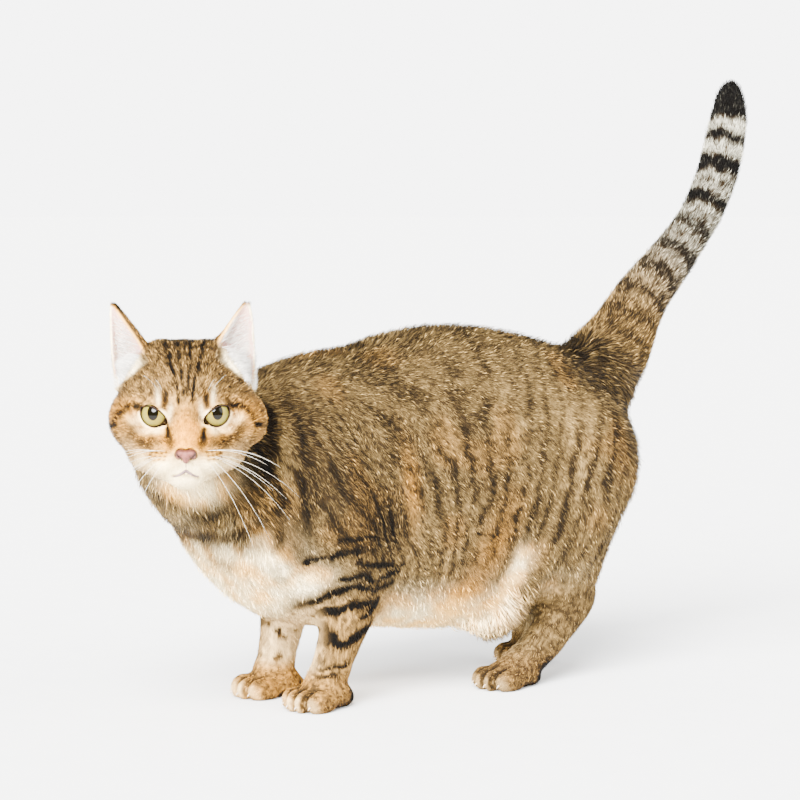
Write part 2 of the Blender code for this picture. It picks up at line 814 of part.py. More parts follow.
def settle(things):
    """Stands the nodes on the floor, middle over the origin, each with an origin of its own."""
    floor = box("floor", (-600, -600, -60), (600, 600, 0))
    for thing in things:
        if min(v.co.z for v in thing.data.vertices) < 0:
            boolean(thing, floor, "DIFFERENCE")
        keep_largest(thing)
    bpy.data.objects.remove(floor)
    corners = [v.co for thing in things for v in thing.data.vertices]
    middle = Vector([
        (min(c.x for c in corners) + max(c.x for c in corners)) / 2,
        (min(c.y for c in corners) + max(c.y for c in corners)) / 2,
        0,
    ])
    root = bpy.data.objects.new("cat", None)
    bpy.context.scene.collection.objects.link(root)
    for thing in things:
        own = [v.co for v in thing.data.vertices]
        centre = Vector([(min(c[k] for c in own) + max(c[k] for c in own)) / 2 for k in range(3)])
        thing.data.transform(Matrix.Translation(-centre))
        thing.location = centre - middle
        thing.parent = root
        thing.vertex_groups.clear()
        for face in thing.data.polygons:
            face.use_smooth = False
        dress(thing)
    print("middle", [round(value / MM, 2) for value in middle])


def main():
    clear_scene()
    settle(parts_of(whole_body()))


main()
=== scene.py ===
# %% [markdown]
# # A tabby domestic shorthair, standing
# The solids give the cat's true outline, out to the tips of its coat, parted into head, neck, torso,
# legs and tail. This script dresses them: one skin without seams, a coat of short tufts over it,
# eyes, nose leather, lips, lid rims, claws and whiskers. The markings are computed once and serve
# skin and coat.

# %% The frame
import itertools
import math

import bmesh
import bpy
import numpy as np
from mathutils import Matrix, Vector
from mathutils.bvhtree import BVHTree


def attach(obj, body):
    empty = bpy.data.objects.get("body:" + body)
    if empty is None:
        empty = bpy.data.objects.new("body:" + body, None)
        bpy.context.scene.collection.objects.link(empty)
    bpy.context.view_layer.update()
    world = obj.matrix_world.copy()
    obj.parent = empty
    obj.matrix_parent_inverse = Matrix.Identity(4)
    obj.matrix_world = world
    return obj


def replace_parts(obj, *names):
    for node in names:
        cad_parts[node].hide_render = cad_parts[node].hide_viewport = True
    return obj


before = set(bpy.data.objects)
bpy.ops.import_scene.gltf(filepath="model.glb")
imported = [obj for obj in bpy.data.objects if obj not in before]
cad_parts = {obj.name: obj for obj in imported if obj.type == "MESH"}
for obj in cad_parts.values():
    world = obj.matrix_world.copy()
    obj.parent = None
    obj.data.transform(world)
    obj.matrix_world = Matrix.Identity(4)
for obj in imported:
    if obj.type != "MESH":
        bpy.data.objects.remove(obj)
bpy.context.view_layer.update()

# %% [markdown]
# ## Values and helpers
# The solids were drawn in millimetres from a point between the cat's feet and then moved so that the
# middle of their box is over the origin. MIDDLE is that move, so measurements made on the cat, such
# as where a stripe runs, can be written in the drawing's own millimetres.

# %% Named values
MM = 0.001
MIDDLE = Vector((13.41, -16.03, 0))     # of the box, in the drawing's millimetres
HEAD_PLACE = (-240.7, -84.3, 207.4)     # midway between the eyes
HEAD_TURN, HEAD_LIFT = 149.0, 3.0       # degrees
HEAD_CUT = ((0, -38, -14), (0, 0.83, 0.56))     # where the neck ends, and the way forward there
EYE_RADIUS, EYE_SPREAD, EYE_DEPTH, EYE_DROP = 10.5, 18.3, -3.0, 0.9     # mm in the head's frame
EYE_OUTWARD, EYE_RISE, EYE_TILT = 8.0, 2.0, 14.0    # degrees
NOSE_TIP = (0, 30, -25)
EAR_ROOT = (20.0, -27, 5)               # of the right ear, and mirrored for the left
EAR_TIPS = {1: (44.5, -31, 68.8), -1: (40.0, -31, 69.6)}
EAR_HALF_WIDTH = {1: 18.5, -1: 20.5}
EAR_TURN = 22.0                         # degrees outward
PAWS = (((-100, -31), 8), ((-100, 31), -6), ((55, -38), 4), ((133, 37), -4))    # place, heading
TOE_PITCH = 8.8
rng = np.random.default_rng(7)


# %% [markdown]
# Colours are read off as sRGB hex values. Blender's shaders want linear light, so one function
# turns them. Another adds a shader node with its settings and links in one line.

# %% Colour and node helpers
def linear(value):
    """A hex colour as three linear values."""
    shares = np.array([int(value[k:k + 2], 16) / 255 for k in (0, 2, 4)])
    return np.where(shares <= 0.04045, shares / 12.92, ((shares + 0.055) / 1.055) ** 2.4)


def add(tree, kind, settings=None, **links):
    """A new node of a kind, with its properties set and its inputs given a value or a link."""
    node = tree.nodes.new("ShaderNode" + kind)
    for name, value in (settings or {}).items():
        setattr(node, name, value)
    for name, value in links.items():
        numbered = name[0] == "i" and name[1:].isdigit()
        socket = node.inputs[int(name[1:]) if numbered else name.replace("_", " ")]
        if isinstance(value, bpy.types.NodeSocket):
            tree.links.new(value, socket)
        else:
            socket.default_value = value
    return node


def new_material(name, **settings):
    """A Principled material and its tree, shader and constant settings."""
    material = bpy.data.materials.new(name)
    material.use_nodes = True
    tree = material.node_tree
    shader = tree.nodes["Principled BSDF"]
    for key, value in settings.items():
        shader.inputs[key.replace("_", " ")].default_value = value
    return material, tree, shader


def mottled(tree, shader, scale, first, second):
    """Colours a shader with soft noise between two hex colours. Scale is lumps to the metre."""
    where = add(tree, "TexCoord")
    lumps = add(tree, "TexNoise", {}, Vector=where.outputs["Object"], Scale=scale, Detail=3.0)
    tone = add(tree, "ValToRGB", {}, Fac=lumps.outputs["Fac"])
    tone.color_ramp.elements[0].position = 0.35
    tone.color_ramp.elements[0].color = (*linear(first), 1)
    tone.color_ramp.elements[1].position = 0.65
    tone.color_ramp.elements[1].color = (*linear(second), 1)
    tree.links.new(tone.outputs["Color"], shader.inputs["Base Color"])


# %% [markdown]
# A head, an eye and the body each have a frame of their own in which their shapes are simple.
# Points go to and fro as rows of numpy arrays, which is fast enough for a whole coat.

# %% Frames
def head_frame():
    """x to the cat's right, y forward, z up, from midway between the eyes."""
    turn = Matrix.Rotation(math.radians(HEAD_TURN), 4, "Z")
    lift = Matrix.Rotation(math.radians(HEAD_LIFT), 4, "X")
    return Matrix.Translation((Vector(HEAD_PLACE) - MIDDLE) * MM) @ turn @ lift


def eye_frame(side):
    """Its z looks out through the lids, its x points to the outer corner and its y up."""
    turn = Matrix.Rotation(math.radians(-EYE_OUTWARD * side), 4, "Z")
    rise = Matrix.Rotation(math.radians(-90 + EYE_RISE), 4, "X")
    roll = Matrix.Rotation(math.radians(-EYE_TILT * side), 4, "Z")
    place = Matrix.Translation(Vector((EYE_SPREAD * side, EYE_DEPTH, -EYE_DROP)) * MM)
    return head_frame() @ place @ turn @ rise @ roll @ Matrix.Diagonal((side, -1, 1, 1))


def into(matrix, points):
    """World points in metres as millimetres in a frame."""
    inverse = np.array(matrix.inverted())
    return (points @ inverse[:3, :3].T + inverse[:3, 3]) / MM


def out_of(matrix, points):
    """Millimetres in a frame as world points in metres."""
    turned = np.array(matrix)
    return (points * MM) @ turned[:3, :3].T + turned[:3, 3]


def directions(matrix, vectors):
    """Directions in a frame as world directions."""
    return vectors @ np.array(matrix)[:3, :3].T


HEAD = head_frame()
EYES = {-1: eye_frame(-1), 1: eye_frame(1)}
BODY = Matrix.Translation(-MIDDLE * MM)


# %% Smooth steps, bumps and noise
def ramp(value, start, end):
    """0 before the start, 1 after the end and smooth between them."""
    share = np.clip((value - start) / (end - start), 0, 1)
    return share * share * (3 - 2 * share)


def bump(value, centre, width):
    """1 at the centre and near 0 two widths away."""
    return np.exp(-(((value - centre) / width) ** 2))


def mix(first, second, share):
    """The first where the share is 0, the second where it is 1."""
    return first * (1 - share) + second * share


def blob(points, centre, sizes):
    """1 in the middle of a soft ellipsoid, 0 far from it."""
    away = (points - np.array(centre)) / np.array(sizes)
    return np.exp(-(away**2).sum(axis=1))


def noise(points, size, seed):
    """Soft noise from 0 to 1 whose lumps are about size across."""
    grid = np.random.default_rng(seed).random((32, 32, 32))
    at = points / size + 500
    cell = np.floor(at).astype(int)
    share = at - cell
    share = share * share * (3 - 2 * share)
    total = np.zeros(len(points))
    for corner in itertools.product((0, 1), repeat=3):
        weight = np.prod(np.where(corner, share, 1 - share), axis=1)
        index = (cell + corner) % 32
        total += weight * grid[index[:, 0], index[:, 1], index[:, 2]]
    return total


def unit(vectors):
    return vectors / np.maximum(np.linalg.norm(vectors, axis=1, keepdims=True), 1e-9)


def to_line(x, z, line):
    """Distance from points to a line through corners."""
    best = np.full(len(x), 1e9)
    for (x0, z0), (x1, z1) in zip(line, line[1:]):
        step = np.array((x1 - x0, z1 - z0), float)
        share = np.clip(((x - x0) * step[0] + (z - z0) * step[1]) / (step @ step), 0, 1)
        best = np.minimum(best, np.hypot(x - x0 - share * step[0], z - z0 - share * step[1]))
    return best


# %% [markdown]
# ## The skin
# A real cat has no seams, so copies of all the solids are swollen by a hair's breadth until they
# touch and are then covered by one even mesh. Blender's voxel remesh does that: it measures how far
# each point is from the surface and lays a new skin where the distance is nought. The solids reach to
# the tips of the coat, so the new skin is sunk by the depth of the fur, little on face and feet, more
# on the body.

# %% Mesh helpers
def mesh_points(mesh):
    points = np.empty(len(mesh.vertices) * 3)
    mesh.vertices.foreach_get("co", points)
    return points.reshape(-1, 3)


def mesh_normals(mesh):
    normals = np.empty(len(mesh.vertices) * 3)
    mesh.vertex_normals.foreach_get("vector", normals)
    return normals.reshape(-1, 3)


def set_points(mesh, points):
    mesh.vertices.foreach_set("co", points.ravel())
    mesh.update()


def set_smooth(mesh):
    mesh.polygons.foreach_set("use_smooth", np.ones(len(mesh.polygons), dtype=bool))
    mesh.update()


def remesh(thing, voxel):
    """Asks for an even new mesh over an object, with faces of a size in mm."""
    even = thing.modifiers.new("even", "REMESH")
    even.mode = "VOXEL"
    even.voxel_size = voxel * MM


def bake(thing):
    """Applies an object's modifiers to its mesh."""
    bpy.context.view_layer.update()
    graph = bpy.context.evaluated_depsgraph_get()
    mesh = bpy.data.meshes.new_from_object(thing.evaluated_get(graph))
    thing.modifiers.clear()
    thing.data = mesh
    return thing


def link(name, mesh):
    """An object at the origin that shows a mesh."""
    thing = bpy.data.objects.new(name, mesh)
    bpy.context.scene.collection.objects.link(thing)
    return thing


def show(name, bm):
    """A bmesh as an object at the origin."""
    mesh = bpy.data.meshes.new(name)
    bm.to_mesh(mesh)
    bm.free()
    return link(name, mesh)


def dress(thing, material):
    """Gives a piece its one material and smooth shading, and lets it ride on the cat."""
    thing.data.materials.clear()
    thing.data.materials.append(material)
    set_smooth(thing.data)
    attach(thing, "root")
    return thing


# %% One mesh over all the solids
SWELL, SKIN_VOXEL = 0.3, 1.3        # mm


def joined_solids():
    """All the nodes in one mesh, each welded, and swollen so that neighbours overlap."""
    whole = bmesh.new()
    for name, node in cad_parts.items():
        if name.startswith(("eye", "nose")):
            continue
        part = bmesh.new()
        part.from_mesh(node.data)
        bmesh.ops.remove_doubles(part, verts=part.verts, dist=1e-6)
        part.normal_update()
        for vertex in part.verts:
            vertex.co += vertex.normal * SWELL * MM
        mesh = bpy.data.meshes.new("swollen")
        part.to_mesh(mesh)
        part.free()
        whole.from_mesh(mesh)
        bpy.data.meshes.remove(mesh)
    return show("cat_skin", whole)


skin = joined_solids()
remesh(skin, SKIN_VOXEL)
bake(skin)
print("skin", len(skin.data.vertices), "points")


# %% [markdown]
# ### Regions
# Each point of the cat belongs a little to head, ears, tail, legs and paws. These shares steer all
# that follows: how much the skin is smoothed, how deep the coat is and how it lies.

# %% Regions of the cat
TAIL_LINE = np.array([
    (147, 205), (170, 222), (187, 243), (201, 264), (217, 281), (234, 297), (248, 312), (261, 327),
    (271, 343), (278, 358), (283, 373), (287, 388), (290, 404), (291, 418), (292, 430),
], float)
TAIL_STEPS = np.linalg.norm(np.diff(TAIL_LINE, axis=0), axis=1)
TAIL_PLACES = np.concatenate([[0], np.cumsum(TAIL_STEPS)])
TAIL_CUT = ((160, 0, 228), (0.62, 0, 0.78))         # where the rump ends, and the way up the tail
EAR_BASE = ((14, 22, 30, 38, 46), (46, 40, 27, 16, 8))      # out from the head's middle, and up


def along_tail(body):
    """Distance along the tail from its root in mm, and its direction there."""
    best = np.full(len(body), 1e9)
    place = np.zeros(len(body))
    way = np.zeros((len(body), 3))
    flat = body[:, [0, 2]]
    for start, end, length, far in zip(TAIL_LINE, TAIL_LINE[1:], TAIL_STEPS, TAIL_PLACES):
        step = end - start
        share = np.clip(((flat - start) @ step) / length**2, 0, 1)
        away = np.linalg.norm(flat - start - share[:, None] * step, axis=1)
        near = away < best
        best[near] = away[near]
        place[near] = far + share[near] * length
        way[near] = (step[0] / length, 0, step[1] / length)
    return place, way


def regions(points):
    """Shares of head, ear, tail, leg and paw, and the points in the frames of body and head."""
    body, head = into(BODY, points), into(HEAD, points)
    beyond = (head - np.array(HEAD_CUT[0])) @ unit(np.array([HEAD_CUT[1]]))[0]
    share = {"head": ramp(beyond, -6, 10)}
    wide = np.abs(head[:, 0])
    rise = head[:, 2] - np.interp(wide, *EAR_BASE)
    share["ear"] = ramp(rise, 0, 6) * ramp(wide, 15, 20) * (head[:, 1] > -60) * (beyond > 0)
    root = (body - np.array(TAIL_CUT[0])) @ np.array(TAIL_CUT[1])
    share["tail"] = ramp(root, -8, 22)
    fore = ramp(-np.abs(body[:, 0] + 92), -46, -30)
    hind = ramp(body[:, 0] + 28 * (1 - ramp(body[:, 2], 30, 52)), 38, 56)
    limb = np.maximum(fore, hind)
    share["leg"] = limb * (1 - ramp(body[:, 2], 55, 95))
    share["paw"] = limb * (1 - ramp(body[:, 2], 18, 30))
    return share, body, head


# %% Toes
def paw_marks(body):
    """How much each point lies in a cleft between two toes, and on the crest of a toe."""
    cleft, crest = np.zeros(len(body)), np.zeros(len(body))
    for place, heading in PAWS:
        turn = math.radians(180 + heading)
        away = body[:, :2] - np.array(place)
        ahead = away[:, 0] * math.cos(turn) + away[:, 1] * math.sin(turn)
        across = -away[:, 0] * math.sin(turn) + away[:, 1] * math.cos(turn)
        on_toes = ramp(ahead, 10, 19) * (1 - ramp(ahead, 38, 44)) * (1 - ramp(np.abs(across), 19, 24))
        on_toes = on_toes * (1 - ramp(body[:, 2], 13, 19))
        for middle in (-TOE_PITCH, 0, TOE_PITCH):
            cleft = np.maximum(cleft, bump(across, middle, 1.5) * on_toes)
        crest = np.maximum(crest, on_toes)
    return cleft, crest * (1 - cleft)


# %% Smoothing the skin
def weigh(name, weights):
    """A named group of the skin's points with weights in tenths."""
    group = skin.vertex_groups.new(name=name)
    for level in range(1, 11):
        chosen = np.flatnonzero(np.round(weights * 10) == level)
        group.add(chosen.tolist(), level / 10, "REPLACE")
    return name


def smooth_skin(passes, weights, name):
    soft = skin.modifiers.new(name, "SMOOTH")
    soft.factor = 0.5
    soft.iterations = passes
    soft.vertex_group = weigh(name, weights)
    bake(skin)


share, body, head = regions(mesh_points(skin.data))
calm = (1 - share["head"]) * (1 - share["paw"])
smooth_skin(40, calm, "calm")
smooth_skin(4, np.maximum(share["paw"], share["head"] * (1 - 0.8 * share["ear"])), "fine")

# %% [markdown]
# ### Folds and coat depth
# Under the fur the shoulder blade, the elbow, the flank and the thigh push the coat into soft folds.
# Each is a line on the side of the body with a width and a depth, and lifts or sinks the skin.

# %% Folds and loose skin
FOLDS = (       # line, width and height of each, in mm
    (((-62, 70), (-64, 110), (-74, 150), (-92, 188)), 9, -2.6),
    (((-88, 96), (-96, 130), (-104, 170)), 16, 1.8),
    (((-132, 110), (-128, 150), (-124, 190)), 8, -1.6),
    (((30, 62), (44, 96), (62, 140), (74, 180)), 10, -2.6),
    (((52, 66), (66, 100)), 9, 2.2),
    (((-20, 60), (-22, 110), (-14, 170)), 18, 0.9),
    (((96, 90), (100, 150)), 22, 1.4),
)


def folds(body):
    """How far the skin is lifted by its folds, in mm."""
    lift = np.zeros(len(body))
    for line, width, height in FOLDS:
        lift += height * bump(to_line(body[:, 0], body[:, 2], line), 0, width)
    seat = 3.5 * ramp(body[:, 0], 116, 150)
    seat = seat * ramp(body[:, 2], 110, 135) * (1 - ramp(body[:, 2], 185, 215))
    return lift * ramp(np.abs(body[:, 1]), 22, 46) + seat


def flank_sag(body):
    """How far the loose skin before the thighs hangs down, in mm."""
    return 15 * bump(body[:, 0], 43, 18) * (1 - ramp(body[:, 2], 58, 92)) * ramp(-body[:, 1], 16, 38)


def nape(body, head, reach):
    """1 on the far side of the neck, close behind the head."""
    return bump(head[:, 1], -84, reach) * ramp(body[:, 1], 6, 30)


# %% How long the hairs are
TRUNK_HAIR, TAIL_HAIR, LEG_HAIR, PAW_HAIR, EAR_HAIR = 4.7, 5.2, 3.8, 2.4, 2.4       # mm


def coat_length(points, share, body, head):
    """Length of the hairs in mm."""
    from_nose = np.linalg.norm(head - np.array(NOSE_TIP), axis=1)
    face = 1.8 + 2.6 * ramp(from_nose, 14, 66)
    face = face + 3.5 * ramp(-head[:, 2], 24, 45) * ramp(-head[:, 1], -14, 20)
    crest = bump(body[:, 1], 0, 16) * ramp(body[:, 2], 212, 232)
    rear = ramp(body[:, 0], 112, 140) * ramp(body[:, 2], 90, 120)
    belly, ruff = 1 - ramp(body[:, 2], 60, 100), 1 - ramp(body[:, 0], -170, -130)
    trunk = TRUNK_HAIR + 4.0 * crest + 2.5 * rear + 3.5 * belly + 3.0 * ruff
    trunk = trunk + 5.0 * nape(body, head, 26)
    length = mix(trunk, TAIL_HAIR, share["tail"])
    barred = blob(body * (1, 0, 1), (-90, 0, 96), (40, 1, 34)) * ramp(np.abs(body[:, 1]), 24, 40)
    length = length * (1 - 0.3 * barred)
    length -= 1.2 * ramp(along_tail(body)[0], TAIL_PLACES[-1] - 30, TAIL_PLACES[-1]) * share["tail"]
    for region, own in (("leg", LEG_HAIR), ("paw", PAW_HAIR), ("head", face)):
        length = mix(length, own, share[region])
    for matrix in EYES.values():
        local = into(matrix, points)
        near = np.hypot(local[:, 0] / 8.4, local[:, 1] / 6.6)
        short = 1.5 + 3.2 * ramp(near, 1, 2.1)
        length = np.where((near < 2.1) & (local[:, 2] > 0), np.minimum(length, short), length)
    return mix(length, EAR_HAIR, share["ear"])


# %% Sinking the skin
DEPTH_SHARE = 0.36      # how deep a coat lies for each length of hair
CLEFT_DEPTH, TOE_RISE, TAIL_RISE, NAPE_RISE, HEEL_SHIFT = 3.4, 0.8, 1.8, 8, 7      # mm
skin_points = mesh_points(skin.data)
share, body, head = regions(skin_points)
depth = DEPTH_SHARE * coat_length(skin_points, share, body, head) * (1 - share["ear"]) + 0.2
depth = mix(depth, 0.7, share["paw"])
cleft, crest = paw_marks(body)
crown = 2.6 * ramp(head[:, 2], 30, 44) * (1 - ramp(np.abs(head[:, 0]), 16, 26))
cheek = 3.6 * ramp(-head[:, 0], 34, 46) * bump(head[:, 2], -9, 19) * bump(head[:, 1], -28, 26)
ruff = NAPE_RISE * nape(body, head, 24) * ramp(body[:, 2], 90, 120)
lift = mix(folds(body) + ruff, crown + cheek, share["head"]) + TAIL_RISE * share["tail"] - depth
lift = lift - CLEFT_DEPTH * cleft + TOE_RISE * crest
sag = flank_sag(body) * (1 - share["leg"]) * MM
skin_points += mesh_normals(skin.data) * lift[:, None] * MM - np.outer(sag, (0, 0, 1))
far_heel = ramp(body[:, 0], 126, 152) * ramp(body[:, 1], 10, 18) * (1 - ramp(body[:, 2], 24, 50))
skin_points[:, 0] -= HEEL_SHIFT * far_heel * MM
skin_points[:, 2] = np.maximum(skin_points[:, 2], 0.4 * MM)
set_points(skin.data, skin_points)
print("coat depth up to", round(float(depth.max()), 1), "mm")

# %% [markdown]
# ### Eyelids
# The lids are a thin cup over the ball of the eye, ending in an almond edge that is round below and
# cut by the slanting upper lid above. Skin points inside the almond go behind the ball, points just
# outside it lie close over the ball, and points next to the edge are drawn onto it, so it is crisp.

# %% The lids' edge
LID_MIDDLE = np.array((0.0, -1.3))
LID_CORNERS = np.array((
    (9.6, 2.6), (7.9, 3.4), (5.7, 4.2), (3.8, 4.6), (1.9, 4.6), (-0.2, 4.2), (-2.4, 3.5),
    (-4.5, 2.5), (-6.5, 1.2), (-8.1, -0.6), (-9.2, -2.8), (-9.5, -4.9), (-7.8, -5.1), (-6.0, -5.9),
    (-4.3, -6.7), (-1.9, -7.4), (1.0, -7.4), (3.6, -6.5), (6.0, -4.8), (7.8, -2.3), (8.7, 0.3),
)) - LID_MIDDLE
LID_TURNS = np.arctan2(LID_CORNERS[:, 1], LID_CORNERS[:, 0])
LID_ORDER = np.argsort(LID_TURNS)


def lid_reach(turn):
    """Distance in mm from the middle of the opening to the lids' edge."""
    reach = np.linalg.norm(LID_CORNERS, axis=1)[LID_ORDER]
    near = [turn + step for step in (-0.09, -0.045, 0, 0.045, 0.09)]
    return np.mean([np.interp(at, LID_TURNS[LID_ORDER], reach, period=2 * math.pi) for at in near], axis=0)


def lid_share(local):
    """How far out points are, where 1 is the lids' edge, and the edge's own distance there."""
    away = local[:, :2] - LID_MIDDLE
    edge = lid_reach(np.arctan2(away[:, 1], away[:, 0]))
    return np.linalg.norm(away, axis=1) / edge, edge


# %% Shaping the lids
LID_EDGE = EYE_RADIUS + 0.7
SOCKET_HALF = (8.3, 6.6)        # of the oval opening in the solid head


def socket_share(local):
    """Where the solid's own opening ends, in shares of the lids' edge."""
    away = unit(local[:, :2] - LID_MIDDLE)
    stretch, start = away / np.array(SOCKET_HALF), LID_MIDDLE / np.array(SOCKET_HALF)
    a, b, c = (stretch**2).sum(axis=1), stretch @ start, start @ start - 1
    return (-b + np.sqrt(b * b - a * c)) / a / lid_reach(np.arctan2(away[:, 1], away[:, 0]))


def shape_lids(points):
    """Points of the skin with those near the eyes drawn onto the lids."""
    for matrix in EYES.values():
        local = into(matrix, points)
        found, edge = lid_share(local)
        reach = np.linalg.norm(local, axis=1)
        near = (local[:, 2] > 1) & (found < 2.2) & (reach < 18)
        socket = socket_share(local)
        out = np.where(found > socket, 1 + (found - socket) * 1.2 / (2.2 - socket), found / socket)
        snap = near & (np.abs(out - 1) * edge < 0.65)
        out[snap] = 1
        scale = out / np.maximum(found, 0.01)
        flat = LID_MIDDLE + (local[:, :2] - LID_MIDDLE) * scale[:, None]
        want = LID_EDGE * (1 - ramp(out, 1, 2.2)) + np.maximum(reach, LID_EDGE) * ramp(out, 1, 2.2)
        want = np.where((out < 1) & ~snap, EYE_RADIUS - 1.4, want)
        want = np.where(snap, LID_EDGE, want)
        height = np.sqrt(np.maximum(want**2 - (flat**2).sum(axis=1), 0.01))
        local[near, :2] = flat[near]
        local[near, 2] = height[near]
        points = np.where(near[:, None], out_of(matrix, local), points)
    return points


set_points(skin.data, shape_lids(mesh_points(skin.data)))

# %% [markdown]
# The head keeps its fine mesh and the rest is thinned, because the coat covers it. A weight on the
# Decimate modifier says where to keep faces.

# %% Thinning the skin
SKIN_TRIANGLES = 180000
share, body, head = regions(mesh_points(skin.data))
fine = np.maximum(share["head"], share["paw"])
skin.data.calc_loop_triangles()
thin = skin.modifiers.new("thin", "DECIMATE")
thin.ratio = SKIN_TRIANGLES / len(skin.data.loop_triangles)
thin.vertex_group = weigh("thin", 1 - fine)
thin.vertex_group_factor = 2
bake(skin)
skin.vertex_groups.clear()
skin.data.calc_loop_triangles()
print("skin after thinning", len(skin.data.loop_triangles), "triangles")

# %% [markdown]
# ## The markings
# A mackerel tabby's coat is a sandy ground of banded hairs, darker along the back, with soft upright
# stripes on the flank, bars on the legs, rings on the tail and an M on the brow, and it pales to
# cream below. Four soft numbers at each point say it all: dark, pale, warm and grey. Dark also holds
# some painted shade: on the neck's sides below the head, on the rump, in and under the toes and in
# the ear's low fold. Skin and coat both ask this one function, so they always agree.

# %% Colours of the coat
SAND = linear("a58650")
UMBER = linear("2e2212")
BLACK = linear("070605")
CREAM = linear("fff3c8")
BUFF = linear("e09218")
PEACH = linear("fdcb6c")
GREY = linear("c2bda7")
EAR_SKIN = linear("b0857a")


# %% The dark of the body
STRIPE_PITCH = 14.5         # mm from stripe to stripe
STRIPE_SLANT = ((-125, -85, -45, 0, 60, 110), (0.2, 0.8, 0.3, -0.15, -0.3, -0.35))
DARK_PATCHES = (            # place, sizes, strength
    ((70, 0, 150), (40, 1, 50), -0.10), ((-84, 0, 124), (18, 1, 20), 0.26),
    ((-104, 0, 150), (20, 1, 26), 0.16),
)
SHOULDER_EDGE = ((-60, 190), (-70, 150), (-66, 118))


def body_dark(body, behind):
    """Stripes, mottling, the dark back and some painted shade, before the pale parts are laid over them."""
    x, y, z = body.T
    flat, tall = body * (1, 0, 1), body * (1, 1, 0.6)
    wander = noise(body, 30, 1) * 15 + noise(body, 9, 2) * 7
    across = x + np.interp(x, *STRIPE_SLANT) * (z - 150) + wander
    stripes = ramp(np.sin(across * 2 * math.pi / STRIPE_PITCH), 0.0, 0.9)
    broken = 0.3 + 0.7 * ramp(noise(tall, 13, 3), 0.3, 0.65)
    dark = 0.36 + 0.34 * stripes * broken * ramp(z, 60, 100) * (1 - 0.45 * ramp(z, 165, 215))
    dark += 0.20 * (noise(tall, 24, 12) - 0.5) - 0.10 * (1 - ramp(z, 62, 105))
    dark += 0.16 * stripes * blob(flat, (22, 0, 132), (58, 1, 46))
    # Darker fur on the upper rump, deepened by painted shade where it faces away from the light; then the
    # dark line along the spine.
    dark += 0.24 * ramp(x + 0.5 * z, 195, 245) + 0.22 * bump(y, 0, 16) * ramp(z, 205, 230)
    # Painted shade on darker fur: the neck's sides, which the head shades, darken where they face away from
    # the front.
    dark += (0.10 * ramp(-x, 118, 140) + 0.28 * ramp(-x, 110, 150)) * behind
    dark -= 0.15 * (1 - behind) * ramp(z, 118, 140)
    dark += 0.16 * bump(to_line(x, z, SHOULDER_EDGE), 0, 7) * ramp(np.abs(y), 30, 50)
    for place, sizes, strength in DARK_PATCHES:
        dark += strength * blob(flat, place, sizes)
    return dark


# %% The pale and warm of the body
CREAM_PATCHES = (((-157, 0, 105), (13, 1, 6)), ((-126, 0, 86), (13, 1, 11)), ((-150, 0, 70), (30, 1, 22)))
FLANK_FOLD = ((30, 36), (29, 66), (38, 95))
FLANK_BUFF = ((-8, 60), (8, 96), (22, 136))
THROAT_BAND = ((-200, 122), (-176, 118), (-160, 128))


def chest_front(body, normals):
    """The pale front of the chest, streaked where its hairs part."""
    x, _, z = body.T
    front = ramp(-x - 0.15 * z + 14 * noise(body, 12, 13), 112, 144)
    front = front * ramp(-normals[:, 0] - 0.4 * normals[:, 2], -0.1, 0.4)
    front = front * (1 - 0.3 * ramp(noise(body * (1, 1, 0.4), 5, 45), 0.45, 0.75))
    return front * (1 - ramp(z + 30 * noise(body, 10, 14), 106, 152))


def body_marks(body, normals, head):
    x, y, z = body.T
    flat = body * (1, 0, 1)
    low = 1 - ramp(z + 14 * (noise(body, 10, 4) - 0.5), 46, 62)
    low = low * (1 - 0.3 * blob(flat, (-48, 0, 58), (36, 1, 16)))
    inner = ramp(-normals[:, 2], 0.35, 0.85) * (1 - ramp(z, 60, 100))
    side = ramp(np.abs(y), 15, 35) * np.where(y < 0, 1, 0.5)
    flank = bump(to_line(x, z, FLANK_FOLD), 0, 9) * side
    buff = 0.8 * bump(to_line(x, z, FLANK_BUFF), 0, 13) * side * (1 - 0.6 * ramp(z, 100, 145))
    throat = blob(np.c_[np.abs(head[:, 0]), head[:, 2]], (0, -53), (29, 16)) * ramp(head[:, 1], -80, -60)
    parts = [low, inner, chest_front(body, normals), 1.5 * throat]
    parts += [1.6 * blob(flat, *patch) * (0.6 + 0.8 * noise(body, 9, 33)) for patch in CREAM_PATCHES]
    parts += [1.1 * flank * (0.65 + 0.6 * noise(body, 8, 34)), 0.30 * buff * (1 - ramp(z, 70, 110))]
    pale = np.max(parts, axis=0)
    warm = 0.1 * flank + 0.7 * buff + 0.2 * throat
    warm += (0.2 + 0.5 * ramp(noise(body, 9, 35), 0.3, 0.7)) * ramp(pale, 0.1, 0.4)
    warm += 0.6 * blob(flat, (-54, 0, 150), (6, 1, 26)) + 0.2 * ramp(noise(body, 24, 15), 0.55, 0.8)
    warm += 0.4 * low * ramp(x, -100, -85) * (1 - ramp(x, 0, 22))
    spots = ramp(noise(body, 5.5, 41), 0.66, 0.8) * low
    band = bump(to_line(x, z, THROAT_BAND), 0, 3.5)
    bold = foreleg_bars(body)
    dark = body_dark(body, 1 - ramp(-normals[:, 0], 0.2, 0.7)) + 0.4 * spots - 0.12 * warm + 0.55 * band
    pale = pale * (1 - 0.5 * spots) * (1 - 0.7 * band)
    return dark + bold, pale * (1 - np.clip(1.2 * bold, 0, 1)), warm * (1 - np.clip(bold, 0, 1))


# %% [markdown]
# The bars on the forelegs are the cat's boldest marks. They are wavy, broken and blackest on the
# outer side, so they are laid down one by one as lines in mm along the body and above the floor.

